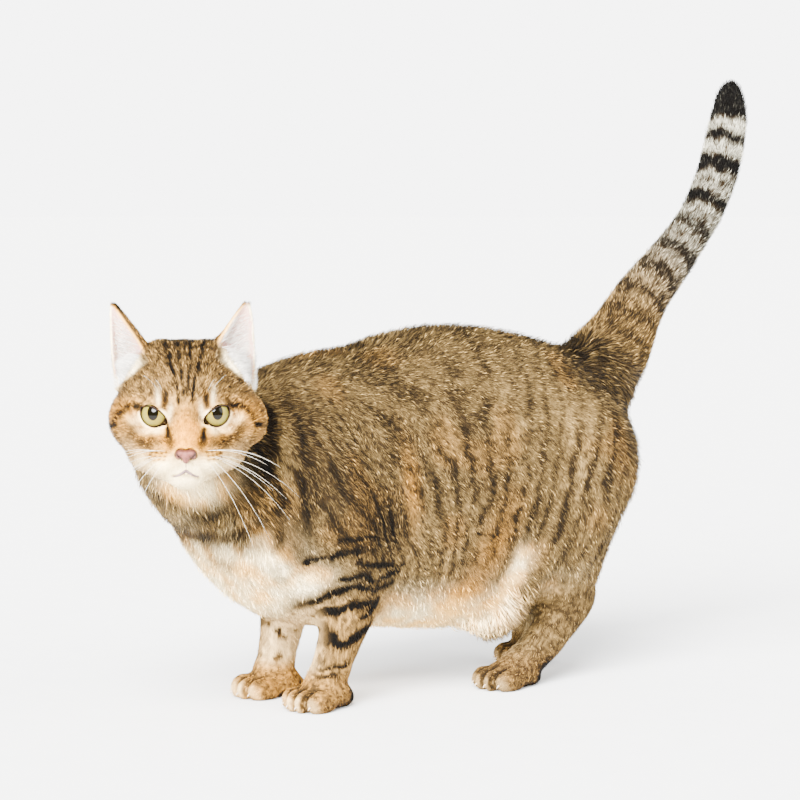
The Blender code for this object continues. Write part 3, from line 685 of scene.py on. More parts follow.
# %% Bars on the forelegs
FORELEG_BARS = (        # line, half width in mm and strength of each
    (((-130, 103), (-115, 107), (-97, 111)), 1.9, 1.1),
    (((-112, 116), (-98, 119), (-84, 117)), 1.3, 0.6),
    (((-97, 101), (-84, 98), (-70, 96), (-57, 96)), 1.2, 0.8),
    (((-105, 91), (-92, 92), (-76, 87), (-60, 91)), 1.6, 1.1),
    (((-109, 80), (-100, 84), (-87, 83), (-73, 80), (-61, 84)), 1.5, 1.0),
    (((-124, 71), (-113, 75), (-105, 80), (-97, 83)), 2.1, 1.1),
    (((-107, 66), (-97, 70), (-87, 72), (-71, 71)), 2.5, 1.2),
    (((-73, 67), (-84, 62)), 1.6, 0.9),
    (((-111, 50), (-105, 47), (-97, 42), (-87, 47), (-76, 55)), 2.2, 1.1),
    (((-108, 58), (-102, 49)), 1.7, 0.9),
    (((-124, 66), (-122, 54)), 2.4, 0.7),
    (((-122, 36), (-106, 33)), 0.9, 0.6),
    (((-118, 30), (-98, 28), (-88, 31)), 0.9, 0.6),
    (((-116, 24), (-100, 23)), 0.9, 0.5),
)


def foreleg_bars(body):
    """Darkness of the bars on the outer side of the forelegs."""
    x, y, z = body.T
    bars = np.zeros(len(body))
    at = np.flatnonzero((x > -140) & (x < -45) & (z < 128) & (np.abs(y) > 18))
    swing = noise(body[at], 10, 5) - 0.5
    across, up = x[at] + 4 * swing, z[at] + 5 * swing + 0.04 * (y[at] > 0) * x[at]
    rough = 0.75 + 0.5 * noise(body[at], 2.5, 36)
    for line, half, strength in FORELEG_BARS:
        away = to_line(across, up, line)
        bars[at] = np.maximum(bars[at], 1.3 * strength * (1 - ramp(away * rough, half * 0.8, half * 1.8)))
    return bars * ramp(np.abs(y), 22, 34)


# %% Legs
LEG_RING_PITCH = 11     # mm
HEELS = (62, 138)       # how far back the hind soles go on, on the left and the right


def leg_marks(body, normals):
    x, y, z = body.T
    outer = ramp(np.abs(y), 26, 44)
    hind = x > 0
    on_paw, shin = 1 - ramp(z, 16, 30), ramp(z, 14, 30)
    rings = np.sin((z + 0.42 * x + noise(body, 13, 16) * 12) * 2 * math.pi / LEG_RING_PITCH)
    dark = 0.27 + 0.08 * hind + 0.05 * on_paw
    dark += 0.22 * ramp(rings, 0.2, 0.9) * ramp(z, 20, 34) * np.where(hind, 0.4, 0.3)
    dark += np.where(hind, 0.15, 0.3) * (noise(body, 3.0, 37) - 0.5) * shin + foreleg_bars(body)
    heel = ramp(x, -88, -78) * (x < 0) + hind * ramp(x - np.where(y < 0, *HEELS), 4, 16)
    sole = ramp(normals[:, 0] - 0.6 * normals[:, 2], -0.3, 0.3) * (1 - ramp(z, 11, 22))
    dark += 1.1 * heel * (y < 20) * sole
    cleft, crest = paw_marks(body)
    # Painted shade: the clefts between the toes and the toes' undersides just above the floor are darkened.
    dark += 1.3 * cleft + 0.4 * ramp(-normals[:, 2], 0.4, 0.9) * (1 - ramp(z, 3, 8))
    spots = ramp(noise(body, 4.5, 38), 0.72, 0.8) * (1 - outer) * ramp(z, 20, 30)
    pale = 0.42 * (1 - outer) * ramp(z, 16, 30) * (1 - spots) * (1 - 0.6 * hind)
    toes = crest * ramp(-normals[:, 0] - 0.5 * normals[:, 2], 0.1, 0.7)
    pale = np.maximum(pale, np.where(hind, 0.2, 0.3) * toes)
    warm = 0.20 - 0.17 * hind + 0.2 * on_paw + 0.2 * (1 - outer) * ~hind
    return dark + 0.5 * spots, pale * (1 - cleft), warm


# %% [markdown]
# The tail's rings are bold black on grey near its black tip and fade to brown towards its root.

# %% Tail
TAIL_RINGS = (          # height, half width in mm and strength of each
    (387, 4.8, 1.1), (364, 7.5, 1.2), (350, 3.0, 0.65), (337, 6.5, 1.0), (316, 5, 0.85),
    (298, 5.5, 0.85), (282, 5, 0.8), (267, 5, 0.75), (251, 5, 0.7), (236, 5, 0.65), (221, 5, 0.6),
)
TIP_LENGTH = 33


def tail_marks(body):
    place, _ = along_tail(body)
    ragged = place + 9 * (noise(body, 6, 6) - 0.5) + 0.06 * body[:, 1]
    dark = 0.42 - 0.26 * ramp(place, 150, 220) + 0.4 * (noise(body, 3, 39) - 0.5)
    for height, half, strength in TAIL_RINGS:
        centre = np.interp(height, TAIL_LINE[:, 1], TAIL_PLACES)
        ring = 1 - ramp(np.abs(ragged - centre), half * 0.5, half * 1.5)
        dark = np.maximum(dark, strength * ring)
    start = TAIL_PLACES[-1] - TIP_LENGTH
    dark += 1.6 * ramp(ragged, start, start + 4)
    return dark, ramp(place, 60, 165), 0.10 * np.ones(len(body))


# %% [markdown]
# ### The face
# Its marks are lines and soft spots in the head's own frame, the same on both sides but for a little
# noise: an M of dark lines on the brow, spots above the inner corners of the eyes, lines that run back
# from the eyes over the cheeks, pale fur round the eyes and on the muzzle, an orange bridge.

# %% Lines and spots of the face
LIP_LINE = ((7.8, -38.2), (6.8, -38.1), (5.4, -37.7), (3.8, -37.0), (2.2, -36.0), (0.9, -35.1), (0, -34.7))
DROP_LINE = ((0, -34.7), (0, -32.5), (0, -30.0))
DARK_LINES = (          # line, width in mm and strength of each
    (((28, 4.8), (33, 5.0), (37, 3.6), (42, -1.2), (44.3, -7), (50, -8)), 1.8, 0.85),
    (((36, -5), (32, -13), (24, -20)), 2.8, 0.32),
    (((44, -12), (40, -20), (32, -27)), 2.0, 0.25),
    (((10.8, -6), (10.6, -11), (11.4, -14)), 1.4, 1.1),
    (((11.4, -14), (11, -19)), 1.2, 0.5),
    (((3.9, 7), (5.6, 18), (8.2, 30), (12.2, 44)), 1.0, 0.75),
    (((1.7, 12), (2.4, 24), (4.2, 46)), 0.9, 0.6),
    (((8.0, 26), (12, 40)), 1.2, 0.5),
)
DARK_SPOTS = (          # place, sizes in mm and strength of each
    ((13.2, 8.8), (2.3, 4.6), 0.8), ((9.6, -17), (1.6, 5), 0.4), ((0, 46), (14, 6), 0.25),
    ((20.5, -17.5), (8, 3.6), 0.26), ((35, -14), (6, 8), 0.14),
)
PALE_SPOTS = (
    ((0, -38), (17, 12), 1.3), ((15, -32), (12, 8), 1.1), ((32, -3.5), (5.5, 3.8), 0.75),
    ((16.8, 10.5), (1.7, 5.5), 0.7), ((20, -10.4), (9.0, 2.4), 0.9), ((9.4, 1), (1.7, 6), 0.75),
    ((36, -22), (7, 8), 0.25), ((26, -30), (10, 7), 0.7),
)
WARM_SPOTS = (
    ((0, -14.5), (8.0, 8.0), 1.8), ((0, -1), (5, 7), 0.3), ((9.5, -17), (2.5, 6), 0.8),
    ((17.5, -25), (6, 4), 0.9), ((22, -14), (9, 5), 0.5), ((38, 0), (9, 9), 0.5),
    ((13.2, 8.8), (2.6, 5), 0.6), ((12, -14), (3, 6), 0.8),
)
SPOT_ROWS, SPOT_COLUMNS = 3, 4      # from which the whiskers grow


# %% Face
def face_lines(head, flat, front):
    """Darkness of the lines on the brow and cheeks, the lips and the whisker spots."""
    x, z = flat.T
    before = head[:, 1] > 4
    broken = ramp(noise(head * (1, 0.5, 0.8), 2.6, 10), 0.2, 0.55)
    lines = 0.6 * bump(to_line(x, z, LIP_LINE), 0, 0.9) * before
    lines = np.maximum(lines, 0.4 * blob(flat, (0, -37.6), (5.0, 1.3)) * before)
    for line, width, strength in DARK_LINES:
        here = bump(to_line(x, z, line), 0, width) * front
        lines = np.maximum(lines, strength * here * (0.3 + 0.85 * broken))
    for row, column in itertools.product(range(SPOT_ROWS), range(SPOT_COLUMNS)):
        spot = (12.6 + 2.9 * column + 0.5 * row, -23.2 - 2.5 * row + 0.2 * column)
        lines = np.maximum(lines, 0.85 * blob(flat, spot, (1.0, 0.75)) * (head[:, 1] > 0))
    return lines


def face_ground(head, flat, front):
    """Dark, pale and warm shares of the face before its lines are drawn."""
    x, z = flat.T
    y = head[:, 1]
    bridge = blob(flat, (0, -15), (7.0, 7.5)) * front
    dark = 0.18 + 0.16 * ramp(z, 4, 20) + 0.06 * ramp(z, 20, 34) + 0.05 * ramp(z, 2, 12) * ramp(x, 18, 30)
    dark += 0.5 * (noise(head, 1.6, 8) - 0.5) * ramp(z, 0, 10)
    dark += 0.30 * ramp(-y, 24, 58) * ramp(z, -30, -5) - 0.30 * bridge
    dark -= 0.07 * ramp(-head[:, 0], 18, 32) * (1 - ramp(z, -6, 6))
    for place, sizes, strength in DARK_SPOTS:
        dark += strength * blob(flat, place, sizes)
    pale = ramp(-z, 34, 42) * ramp(y, -24, 4)
    for place, sizes, strength in PALE_SPOTS:
        pale = np.maximum(pale, strength * blob(flat, place, sizes) * front)
    warm = (0.38 - 0.18 * ramp(z, 2, 16)) * front
    for place, sizes, strength in WARM_SPOTS:
        warm += strength * blob(flat, place, sizes) * front
    return dark, pale * (1 - bridge), warm


def head_marks(points, head):
    warp = np.c_[noise(head, 8, 17), noise(head, 8, 18)] - 0.5
    x = np.abs(head[:, 0] + 2.0 * warp[:, 0] * ramp(np.abs(head[:, 0]), 0, 3))
    z = head[:, 2] + 2.0 * warp[:, 1]
    flat, front = np.c_[x, z], ramp(head[:, 1], -34, -18)
    lines = face_lines(head, flat, front)
    dark, pale, warm = face_ground(head, flat, front)
    for matrix in EYES.values():
        local = into(matrix, points)
        out, _ = lid_share(local)
        under = 1 - 0.9 * ramp(local[:, 1] + 0.35 * local[:, 0], 1.5, 4)
        here = (local[:, 2] > 0) * bump(out, 1.15, 0.2) * under
        pale = np.maximum(pale, 0.9 * here)
        dark -= 0.4 * here
    ear_fur = ramp(z - np.interp(x, *EAR_FOOT), -1.5, 2.5) * ramp(past_rim(head), 0, 1.5)
    ear_fur = ear_fur * ramp(head[:, 1], -38, -30)
    # The ear's low fold: its pale fur gives way to darker, partly pinkish skin and partly painted shade of
    # the fold.
    corner, pocket = rim_corner(head) * ear_fur, blob(flat, (42, 26.5), (5, 6))
    ear_fur = ear_fur * (0.6 + 0.5 * noise(head, 2.5, 40)) * (1 - 0.95 * corner)
    pale = np.maximum(pale, ear_fur - 0.4 * pocket)
    dark += lines + 0.25 * pocket + 0.3 * corner
    return dark, np.clip(pale, 0, 1) * (1 - np.clip(lines, 0, 1)), warm


# %% [markdown]
# An ear is a thin cup turned outward. Its hollow is pink skin under white hair, its inner edge a
# bright line of short buff hairs, and the brown fur of its back comes round that edge.

# %% Places on the ears
EAR_FOOT = ((17, 22, 26, 32, 40, 46), (37, 33, 30, 24.5, 18.5, 19))     # where the white fur ends
EAR_RIM_HEIGHTS = (33, 46, 58, 70)
EAR_RIMS = {1: (22.2, 29.3, 37.6, 46), -1: (17.6, 22.2, 29, 38.8)}


def past_rim(head):
    """How far outward points lie of the ear's bright inner rim, seen from the front, in mm."""
    right = np.interp(head[:, 2], EAR_RIM_HEIGHTS, EAR_RIMS[1])
    left = np.interp(head[:, 2], EAR_RIM_HEIGHTS, EAR_RIMS[-1])
    return np.abs(head[:, 0]) - np.where(head[:, 0] > 0, right, left)


def rim_corner(head):
    """1 in the brown fur at the lower end of the inner rim."""
    return blob(np.c_[past_rim(head), head[:, 2]], (1.5, 36), (4.0, 9))


def ear_places(head):
    """Mirrored place round an ear's axis in mm, height from root to tip, and the ear's half-width."""
    side = np.where(head[:, 0] > 0, 1, -1)
    tips = np.where((side > 0)[:, None], EAR_TIPS[1], EAR_TIPS[-1])
    up = np.clip((head[:, 2] - EAR_ROOT[2]) / (tips[:, 2] - EAR_ROOT[2]), 0, 1)
    axis = np.array(EAR_ROOT) * (1 - up[:, None]) + tips * up[:, None]
    away = np.c_[head[:, 0] * side, head[:, 1]] - axis[:, :2]
    half = np.where(side > 0, EAR_HALF_WIDTH[1], EAR_HALF_WIDTH[-1]) * (1 - up**1.5) + 1.3
    return away, up, half, side


def ear_pocket(head):
    """1 in the fold low on the ear's outer edge: pinkish skin, darkened there as painted shade of the fold.
    """
    return blob(np.c_[np.abs(head[:, 0]), head[:, 2]], (42, 26), (5, 7))


# %% The ears
def ear_marks(head, normals):
    """Dark, pale and warm on an ear, and 1 in its hollow."""
    away, _, half, side = ear_places(head)
    facing = directions(HEAD.inverted(), normals) * np.c_[side, np.ones(len(side)), np.ones(len(side))]
    toward = -(unit(away) * facing[:, :2]).sum(axis=1)
    cup = ramp(toward, -0.05, 0.35)
    edge = half * 0.95 * math.cos(math.radians(EAR_TURN))
    from_rim = past_rim(head)
    rim = bump(from_rim, 0.3, 1.0) * ramp(facing[:, 1], -0.1, 0.3)
    within = ramp(from_rim, 0.2, 1.6)
    hollow = cup * within
    outer = ramp(away[:, 0], edge * 0.75, edge * 0.95) * ramp(facing[:, 1], -0.5, 0)
    tip = ramp(head[:, 2], 61, 69) * (1 - ramp(from_rim, 0.5, 2)) + ramp(head[:, 2], 66.5, 69)
    pocket = ear_pocket(head)
    foot = ramp(head[:, 2] - np.interp(np.abs(head[:, 0]), *EAR_FOOT), -1.5, 2.5)
    white = np.maximum(within * np.maximum(cup, foot * ramp(facing[:, 1], -0.3, 0.1)), 0.8 * outer)
    corner = rim_corner(head)
    # In the low fold: warmer for its pinkish skin, darker as painted shade of the fold.
    dark = (1 - white) * 0.5 + 0.7 * tip + 0.15 * pocket + 0.3 * corner
    white_hair = white * (0.9 - 0.5 * pocket) * (1 - 0.95 * corner)
    pale = np.maximum(white_hair * (0.75 + 0.4 * noise(head, 2.2, 44)), 0.75 * rim)
    warm = 0.5 * (1 - white) + 0.15 * white + 0.5 * pocket + 0.7 * rim
    return dark * (1 - 0.8 * rim), pale * (1 - 0.8 * np.clip(tip, 0, 1)), warm, hollow


# %% All the marks together
def markings(points, normals):
    """Dark, pale, warm and grey shares of the coat at each point."""
    share, body, head = regions(points)
    marks = np.stack([*body_marks(body, normals, head), np.zeros(len(points))])
    sources = {
        "leg": lambda at: (*leg_marks(body[at], normals[at]), 0),
        "tail": lambda at: tail_as_marks(body[at]),
        "head": lambda at: (*head_marks(points[at], head[at]), 0),
        "ear": lambda at: (*ear_marks(head[at], normals[at])[:3], 0),
    }
    for region, source in sources.items():
        at = np.flatnonzero(share[region] > 0)
        if len(at):
            weight = share[region][at]
            for row, values in enumerate(source(at)):
                marks[row, at] = mix(marks[row, at], values, weight)
    return np.clip(marks, 0, 1)


def tail_as_marks(body):
    """The tail's marks in the common order, with nothing pale on it."""
    dark, grey, warm = tail_marks(body)
    return dark, 0, warm, grey


def colours(marks, tint):
    """Linear colours from the marks. Tint runs from 0, a dark hair or band, to 1, a light one."""
    dark, pale, warm, grey = (mark[:, None] for mark in marks)
    light = mix(mix(SAND, BUFF, warm), GREY, grey)
    light = mix(light, mix(CREAM, PEACH, warm), pale)
    low = mix(mix(UMBER, BLACK, dark), light * 0.82, pale)
    return mix(low, light, ramp(tint[:, None] * 1.25 - dark * 1.3 + 0.16, -0.02, 0.92))


# %% The skin's own colours
def paint(mesh, values):
    """Writes linear colours to a mesh's points."""
    layer = mesh.color_attributes.new("coat", "FLOAT_COLOR", "POINT")
    layer.data.foreach_set("color", np.c_[values, np.ones(len(values))].ravel())


skin_points, skin_normals = mesh_points(skin.data), mesh_normals(skin.data)
flecks = 0.15 + 0.4 * noise(skin_points / MM, 1.6, 11)
under_fur = colours(markings(skin_points, skin_normals), flecks)
share, body, head = regions(skin_points)
ear_skin = (share["ear"] * ear_marks(head, skin_normals)[3])[:, None]
paint(skin.data, mix(under_fur, EAR_SKIN, ear_skin))

# %% [markdown]
# Short undercoat is soft and dull. The skin shows it between the tufts: the colour comes from the
# painted attribute, and a fine noise bump, about as coarse as hair is thick in the render, breaks
# the light.

# %% Undercoat and hair materials
undercoat, tree, shader = new_material("short undercoat", Roughness=0.85, Specular_IOR_Level=0.02)
painted = add(tree, "Attribute", {"attribute_name": "coat"})
tree.links.new(painted.outputs["Color"], shader.inputs["Base Color"])
where = add(tree, "TexCoord")
grain = add(tree, "TexNoise", {}, Vector=where.outputs["Object"], Scale=900.0, Detail=3.0)
relief = add(tree, "Bump", {}, Height=grain.outputs["Fac"], Strength=0.35, Distance=0.0006)
tree.links.new(relief.outputs["Normal"], shader.inputs["Normal"])

guard_hair, tree, shader = new_material("banded guard hair", Roughness=0.5, Specular_IOR_Level=0.08)
painted = add(tree, "Attribute", {"attribute_name": "coat"})
tree.links.new(painted.outputs["Color"], shader.inputs["Base Color"])

dress(skin, undercoat)
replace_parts(skin, *[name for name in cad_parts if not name.startswith(("eye", "nose"))])


# %% [markdown]
# ## The lie of the coat
# Hair on a cat lies from the nose backwards: it fans out over the face, streams along neck and
# trunk, runs down the legs, forward over the toes and up the tail. At every root a direction is
# blended from these streams and laid flat on the skin.

# %% Which way the hair lies
def blend(first, second, weight):
    return first * (1 - weight[:, None]) + second * weight[:, None]


def lie(points, normals, share, body, head):
    """Unit directions along the skin, from root to tip."""
    x, _, z = body.T
    ones, none = np.ones(len(points)), np.zeros(len(points))
    trunk = np.c_[ones, none, -0.3 - 1.9 * (1 - ramp(z, 165, 240))]
    neck = np.c_[0.7 * ones, 0.2 * ones, -1.0 + 0.65 * ramp(z, 150, 215)]
    way = blend(trunk, neck, ramp(-x, 110, 165))
    way = blend(way, np.c_[0.18 * ones, none, -ones], share["leg"])
    forward = np.c_[-ones, none, -0.35 * ones]
    way = blend(way, forward, share["paw"] * ramp(normals[:, 2] - normals[:, 0], -0.2, 0.5))
    way = blend(way, along_tail(body)[1], share["tail"])
    fan = unit(head - np.array(NOSE_TIP)) + np.array((0, -0.25, 0))
    fan[:, 2] -= 0.6 * ramp(-head[:, 2], 22, 40)
    for matrix in EYES.values():
        local = into(matrix, points)
        out, _ = lid_share(local)
        shove = directions(HEAD.inverted(), directions(matrix, unit(local * (1, 1, 0) + 1e-6)))
        fan += (1.8 * bump(out, 1, 0.45) * (local[:, 2] > 0))[:, None] * shove
    up = np.c_[0.25 * np.sign(head[:, 0]), -0.2 * ones, ones]
    fan = directions(HEAD, blend(fan, up, share["ear"]))
    way = blend(unit(way), unit(fan), share["head"])
    way = way - normals * (way * normals).sum(axis=1, keepdims=True)
    return unit(way)


# %% [markdown]
# ## The coat
# Hairs are far too many to model one by one, so each tuft is a closed, pointed blade of three sides.
# Most are straight, with four faces, and lie close. A few in each piece are bent once and stand out
# a little, which breaks the outline as guard hairs do. They are laid out by arrays and joined in one
# mesh per region of the body. Each knows its root's place on an unwrap of that region, in the map
# OFBake, so its colours can be baked.

# %% Roots on the skin
def bare(points, head):
    """Where no tuft grows: on the eyes, the nose leather and under the soles."""
    x, y, z = np.abs(head[:, 0]), head[:, 1], head[:, 2]
    none = (x < 6.6 * ramp(z, -34, -23) + 0.3) & (z > -31) & (z < -20.8) & (y > 20)
    for matrix in EYES.values():
        local = into(matrix, points)
        none |= (lid_share(local)[0] < 1.08) & (local[:, 2] > 2)
    return none | (points[:, 2] < 1.2 * MM)


mesh = skin.data
mesh.calc_loop_triangles()
corners = np.empty(len(mesh.loop_triangles) * 3, dtype=np.int64)
mesh.loop_triangles.foreach_get("vertices", corners)
corners = corners.reshape(-1, 3)
triangles = skin_points[corners]
centres = triangles.mean(axis=1)
edges = np.cross(triangles[:, 1] - triangles[:, 0], triangles[:, 2] - triangles[:, 0])
areas = np.linalg.norm(edges, axis=1) / 2
face_normals = unit(edges)
face_share, face_body, face_head = regions(centres)


def scatter(weights, count):
    """Roots spread over the skin's triangles by weight: their points and normals."""
    total = np.cumsum(areas * weights)
    at = (np.arange(count) + rng.random(count)) / count * total[-1]
    face = np.searchsorted(total, at).clip(0, len(total) - 1)
    u, v = rng.random(count), rng.random(count)
    over = u + v > 1
    u[over], v[over] = 1 - u[over], 1 - v[over]
    mix = np.c_[1 - u - v, u, v]
    points = (triangles[face] * mix[:, :, None]).sum(axis=1)
    normals = unit((skin_normals[corners[face]] * mix[:, :, None]).sum(axis=1))
    return points, normals


# %% [markdown]
# ### Unwraps
# The trunk, legs and tail are unrolled like labels from a tin and the head is flattened like a map
# of a globe, centred on the nose, so that every tuft's patch lands near its true neighbours.

# %% Places of the roots on an unwrap
def fill(values, low=0.02, high=0.97):
    """Values spread over a range by their order, so that no part of the map is crowded."""
    order = np.argsort(np.argsort(values))
    return low + (high - low) * order / max(len(values) - 1, 1)


def unrolled(points, axis, origin):
    """Angle round an axis, and distance along it."""
    axis = Vector(axis).normalized()
    side = axis.orthogonal().normalized()
    other = axis.cross(side)
    away = into(BODY, points) - np.array(origin)
    angle = np.arctan2(away @ np.array(other), away @ np.array(side))
    return np.c_[fill(angle), fill(away @ np.array(axis))]


def flattened(points):
    """An equal-area map of the head round the nose."""
    away = unit(into(HEAD, points) - np.array((0, -24, -4)))
    reach = np.sqrt(np.clip((1 - away[:, 1]) / 2, 0, 1))
    turn = np.arctan2(away[:, 2], away[:, 0])
    return 0.5 + 0.475 * np.c_[reach * np.cos(turn), reach * np.sin(turn)]


# %% The two kinds of tuft
PATCH = 0.003       # side of a tuft's own place on the colour map
STRAIGHT = np.array([(0, 1, 2), (0, 3, 1), (1, 3, 2), (2, 3, 0)])
BENT = np.array([
    (0, 1, 2), (0, 3, 4), (0, 4, 1), (1, 4, 5), (1, 5, 2), (2, 5, 3), (2, 3, 0),
    (3, 6, 4), (4, 6, 5), (5, 6, 3),
])
STRAIGHT_PATCH = np.array([(0, 0), (1, 0), (0.5, 0.1), (0.5, 1)]) * PATCH
BENT_PATCH = np.array([(0, 0), (1, 0), (0.5, 0.1), (0.1, 0.5), (0.9, 0.5), (0.5, 0.5), (0.5, 1)]) * PATCH


def above_floor(rows):
    """Corners side by side, none of them under the floor."""
    shape = np.stack(rows, axis=1)
    shape[:, :, 2] = np.maximum(shape[:, :, 2], 0.2 * MM)
    return shape


def blades(points, normals, way, length, thick, rise, bend):
    """Corners of tufts, seven to a bent one and four to a straight one, in metres."""
    side = np.cross(way, normals)
    half_side, ridge = side * thick[:, None] / 2, normals * thick[:, None] * 0.45
    root = points - normals * 0.4 * MM
    first = way * np.cos(rise)[:, None] + normals * np.sin(rise)[:, None]
    if bend is None:
        tip = points + first * length[:, None]
        return above_floor([root - half_side, root + half_side, root + ridge, tip])
    second = way * np.cos(bend)[:, None] + normals * np.sin(bend)[:, None]
    middle = points + first * length[:, None] / 2
    tip = middle + second * length[:, None] / 2 + side * (rng.normal(0, 0.08, len(points)) * length)[:, None]
    return above_floor([
        root - half_side, root + half_side, root + ridge,
        middle - half_side * 0.8, middle + half_side * 0.8, middle + ridge * 0.8, tip,
    ])


def coat_mesh(name, groups):
    """One mesh from groups of tufts: their corners, faces, colours and patches."""
    all_points, all_faces, all_shades, all_uvs, start = [], [], [], [], 0
    for tuft_corners, faces, shades, patches in groups:
        count, each = tuft_corners.shape[:2]
        index = (faces[None] + (np.arange(count) * each)[:, None, None]).reshape(-1)
        all_points.append(tuft_corners.reshape(-1, 3))
        all_shades.append(shades.reshape(-1, 3))
        all_uvs.append(patches.reshape(-1, 2)[index])
        all_faces.append(index + start)
        start += count * each
    points, index = np.concatenate(all_points), np.concatenate(all_faces)
    mesh = bpy.data.meshes.new(name)
    mesh.vertices.add(len(points))
    mesh.vertices.foreach_set("co", points.ravel())
    mesh.loops.add(len(index))
    mesh.loops.foreach_set("vertex_index", index.astype(np.int32))
    mesh.polygons.add(len(index) // 3)
    mesh.polygons.foreach_set("loop_start", (np.arange(len(index) // 3) * 3).astype(np.int32))
    mesh.update(calc_edges=True)
    paint(mesh, np.concatenate(all_shades))
    mesh.uv_layers.new(name="OFBake").data.foreach_set("uv", np.concatenate(all_uvs).ravel())
    return mesh


# %% One piece of coat
def tufts(name, weights, triangles, width, unwrap, rise=14.0, bent=0.16, stretch=1.0):
    """A coat piece spread by weights within a number of triangles. Width is in mm, rise in degrees."""
    count = int(triangles / (4 * (1 - bent) + 10 * bent))
    points, normals = scatter(weights, count)
    free = ~bare(points, into(HEAD, points))
    points, normals = points[free], normals[free]
    share, body, head = regions(points)
    count = len(points)
    way = lie(points, normals, share, body, head)
    side = np.cross(way, normals)
    sway = 0.9 * (noise(body, 7, 21) - 0.5) + 0.7 * (noise(body, 22, 22) - 0.5) + rng.normal(0, 0.16, count)
    way = unit(way + side * sway[:, None])
    length = coat_length(points, share, body, head) * stretch * rng.uniform(0.75, 1.15, count)
    thick = width * (0.5 + 0.5 * np.clip(length / 10, 0.2, 1)) * rng.uniform(0.75, 1.25, count) * MM
    crest = bump(body[:, 1], 0, 15) * ramp(body[:, 2], 215, 235) * (1 - share["tail"]) * (1 - share["head"])
    rear = ramp(normals[:, 0], 0.4, 0.9) * ramp(body[:, 2], 80, 110) * (1 - share["tail"])
    uneven = 1 + 0.7 * (noise(body, 6, 24) - 0.5)
    angle = rise * rng.uniform(0.5, 1.35, count) * uneven + 20 * (crest + rear)
    tip_end = ramp(along_tail(body)[0], TAIL_PLACES[-1] - 24, TAIL_PLACES[-1]) * share["tail"]
    angle = angle * (1 - 0.35 * share["paw"]) + 26 * tip_end
    marks = markings(points, normals)
    end_marks = markings(points + way * length[:, None] * 0.85 * MM, normals)
    clumps = noise(body, 1.2, 25) - 0.5
    tint = np.clip(0.5 + 0.8 * (rng.random(count) - 0.5) + 1.1 * clumps, 0, 1)
    value = (rng.uniform(0.8, 1.12, count) + 0.12 * marks[1])[:, None, None]
    places = unwrap(points)[:, None, :]
    stands = rng.random(count) < bent
    groups = []
    for chosen, faces, patch in ((~stands, STRAIGHT, STRAIGHT_PATCH), (stands, BENT, BENT_PATCH)):
        tilt = np.radians(angle[chosen])
        bend = None if faces is STRAIGHT else tilt * rng.uniform(0.0, 0.9, chosen.sum())
        first = tilt if faces is STRAIGHT else tilt * 2.3
        shape = blades(
            points[chosen], normals[chosen], way[chosen], length[chosen] * MM, thick[chosen], first, bend
        )
        here, there, tone = marks[:, chosen], end_marks[:, chosen], tint[chosen]
        base = colours(here, tone * 0.4) * (0.8 + 0.2 * here[1][:, None])
        end = colours(there, np.clip(tone + 0.10, 0, 1))
        if faces is STRAIGHT:
            shades = np.stack([base, base, base, end], axis=1)
        else:
            light = colours((here + there) / 2, np.clip(tone + 0.1, 0, 1))
            shades = np.stack([base, base, base, light, light, light, end], axis=1)
        shades = shades * value[chosen]
        groups.append((shape, faces, shades, places[chosen] + patch[None]))
    thing = dress(link(name, coat_mesh(name, groups)), guard_hair)
    print(name, count, "tufts,", len(thing.data.polygons), "triangles")
    return thing


# %% The coat, region by region
PIECE_TRIANGLES = 186000
on_head, on_tail, on_leg = face_share["head"] >= 0.5, face_share["tail"] >= 0.5, face_share["leg"] >= 0.5
on_ear = face_share["ear"] >= 0.5
along = face_body[:, 0]
trunk = ~(on_head | on_tail | on_leg)
bands = {
    "coat_neck": trunk & (along < -104),
    "coat_shoulders": trunk & (along >= -104) & (along < -28),
    "coat_flanks": trunk & (along >= -28) & (along < 62),
    "coat_hips": trunk & (along >= 62),
}
for name, chosen in bands.items():
    print(name, "area", round(float(areas[chosen].sum()) * 1e4), "cm2")
    tufts(
        name, chosen.astype(float), PIECE_TRIANGLES, 0.72,
        lambda p: unrolled(p, (1, 0, 0), (0, 0, 150)), rise=16, bent=0.06,
    )
tufts("coat_tail", on_tail.astype(float), 140000, 0.62, lambda p: unrolled(p, (0.5, 0, 0.87), (235, 0, 303)))
tufts(
    "coat_legs", on_leg * (1 + 1.4 * face_share["paw"]), PIECE_TRIANGLES, 0.55,
    lambda p: unrolled(p, (0, 0, 1), (-20, 0, 0)), rise=11, bent=0.08,
)
face_front = on_head & ~on_ear & (face_head[:, 1] > -24)
nearness = 1 + 1.6 * np.exp(-(np.linalg.norm(face_head - np.array(NOSE_TIP), axis=1) / 26) ** 2)
tufts("coat_face", face_front * nearness, PIECE_TRIANGLES, 0.46, flattened, rise=12, bent=0.1)
tufts("coat_crown", (on_head & ~on_ear & ~face_front).astype(float), 120000, 0.6, flattened, rise=14)
hollow = ear_marks(face_head, face_normals)[3]
tufts("coat_ears", on_ear * (1 - 0.65 * hollow), 60000, 0.40, flattened, rise=10, bent=0.05)
fold_line = to_line(face_body[:, 0], face_body[:, 2], ((22, 42), (38, 40), (46, 62)))
on_fold = bump(fold_line, 0, 8) * (face_body[:, 1] < -20) * (face_body[:, 0] < 54)
tufts(
    "coat_fold", on_fold * 1.0, 30000, 0.9, lambda p: unrolled(p, (0, 0, 1), (30, 0, 60)),
    rise=12, bent=0.5, stretch=1.9,
)


# %% [markdown]
# ### Hairs in the ears
# From the inner edge and the floor of each cup long, fine, white hairs reach across the ear.

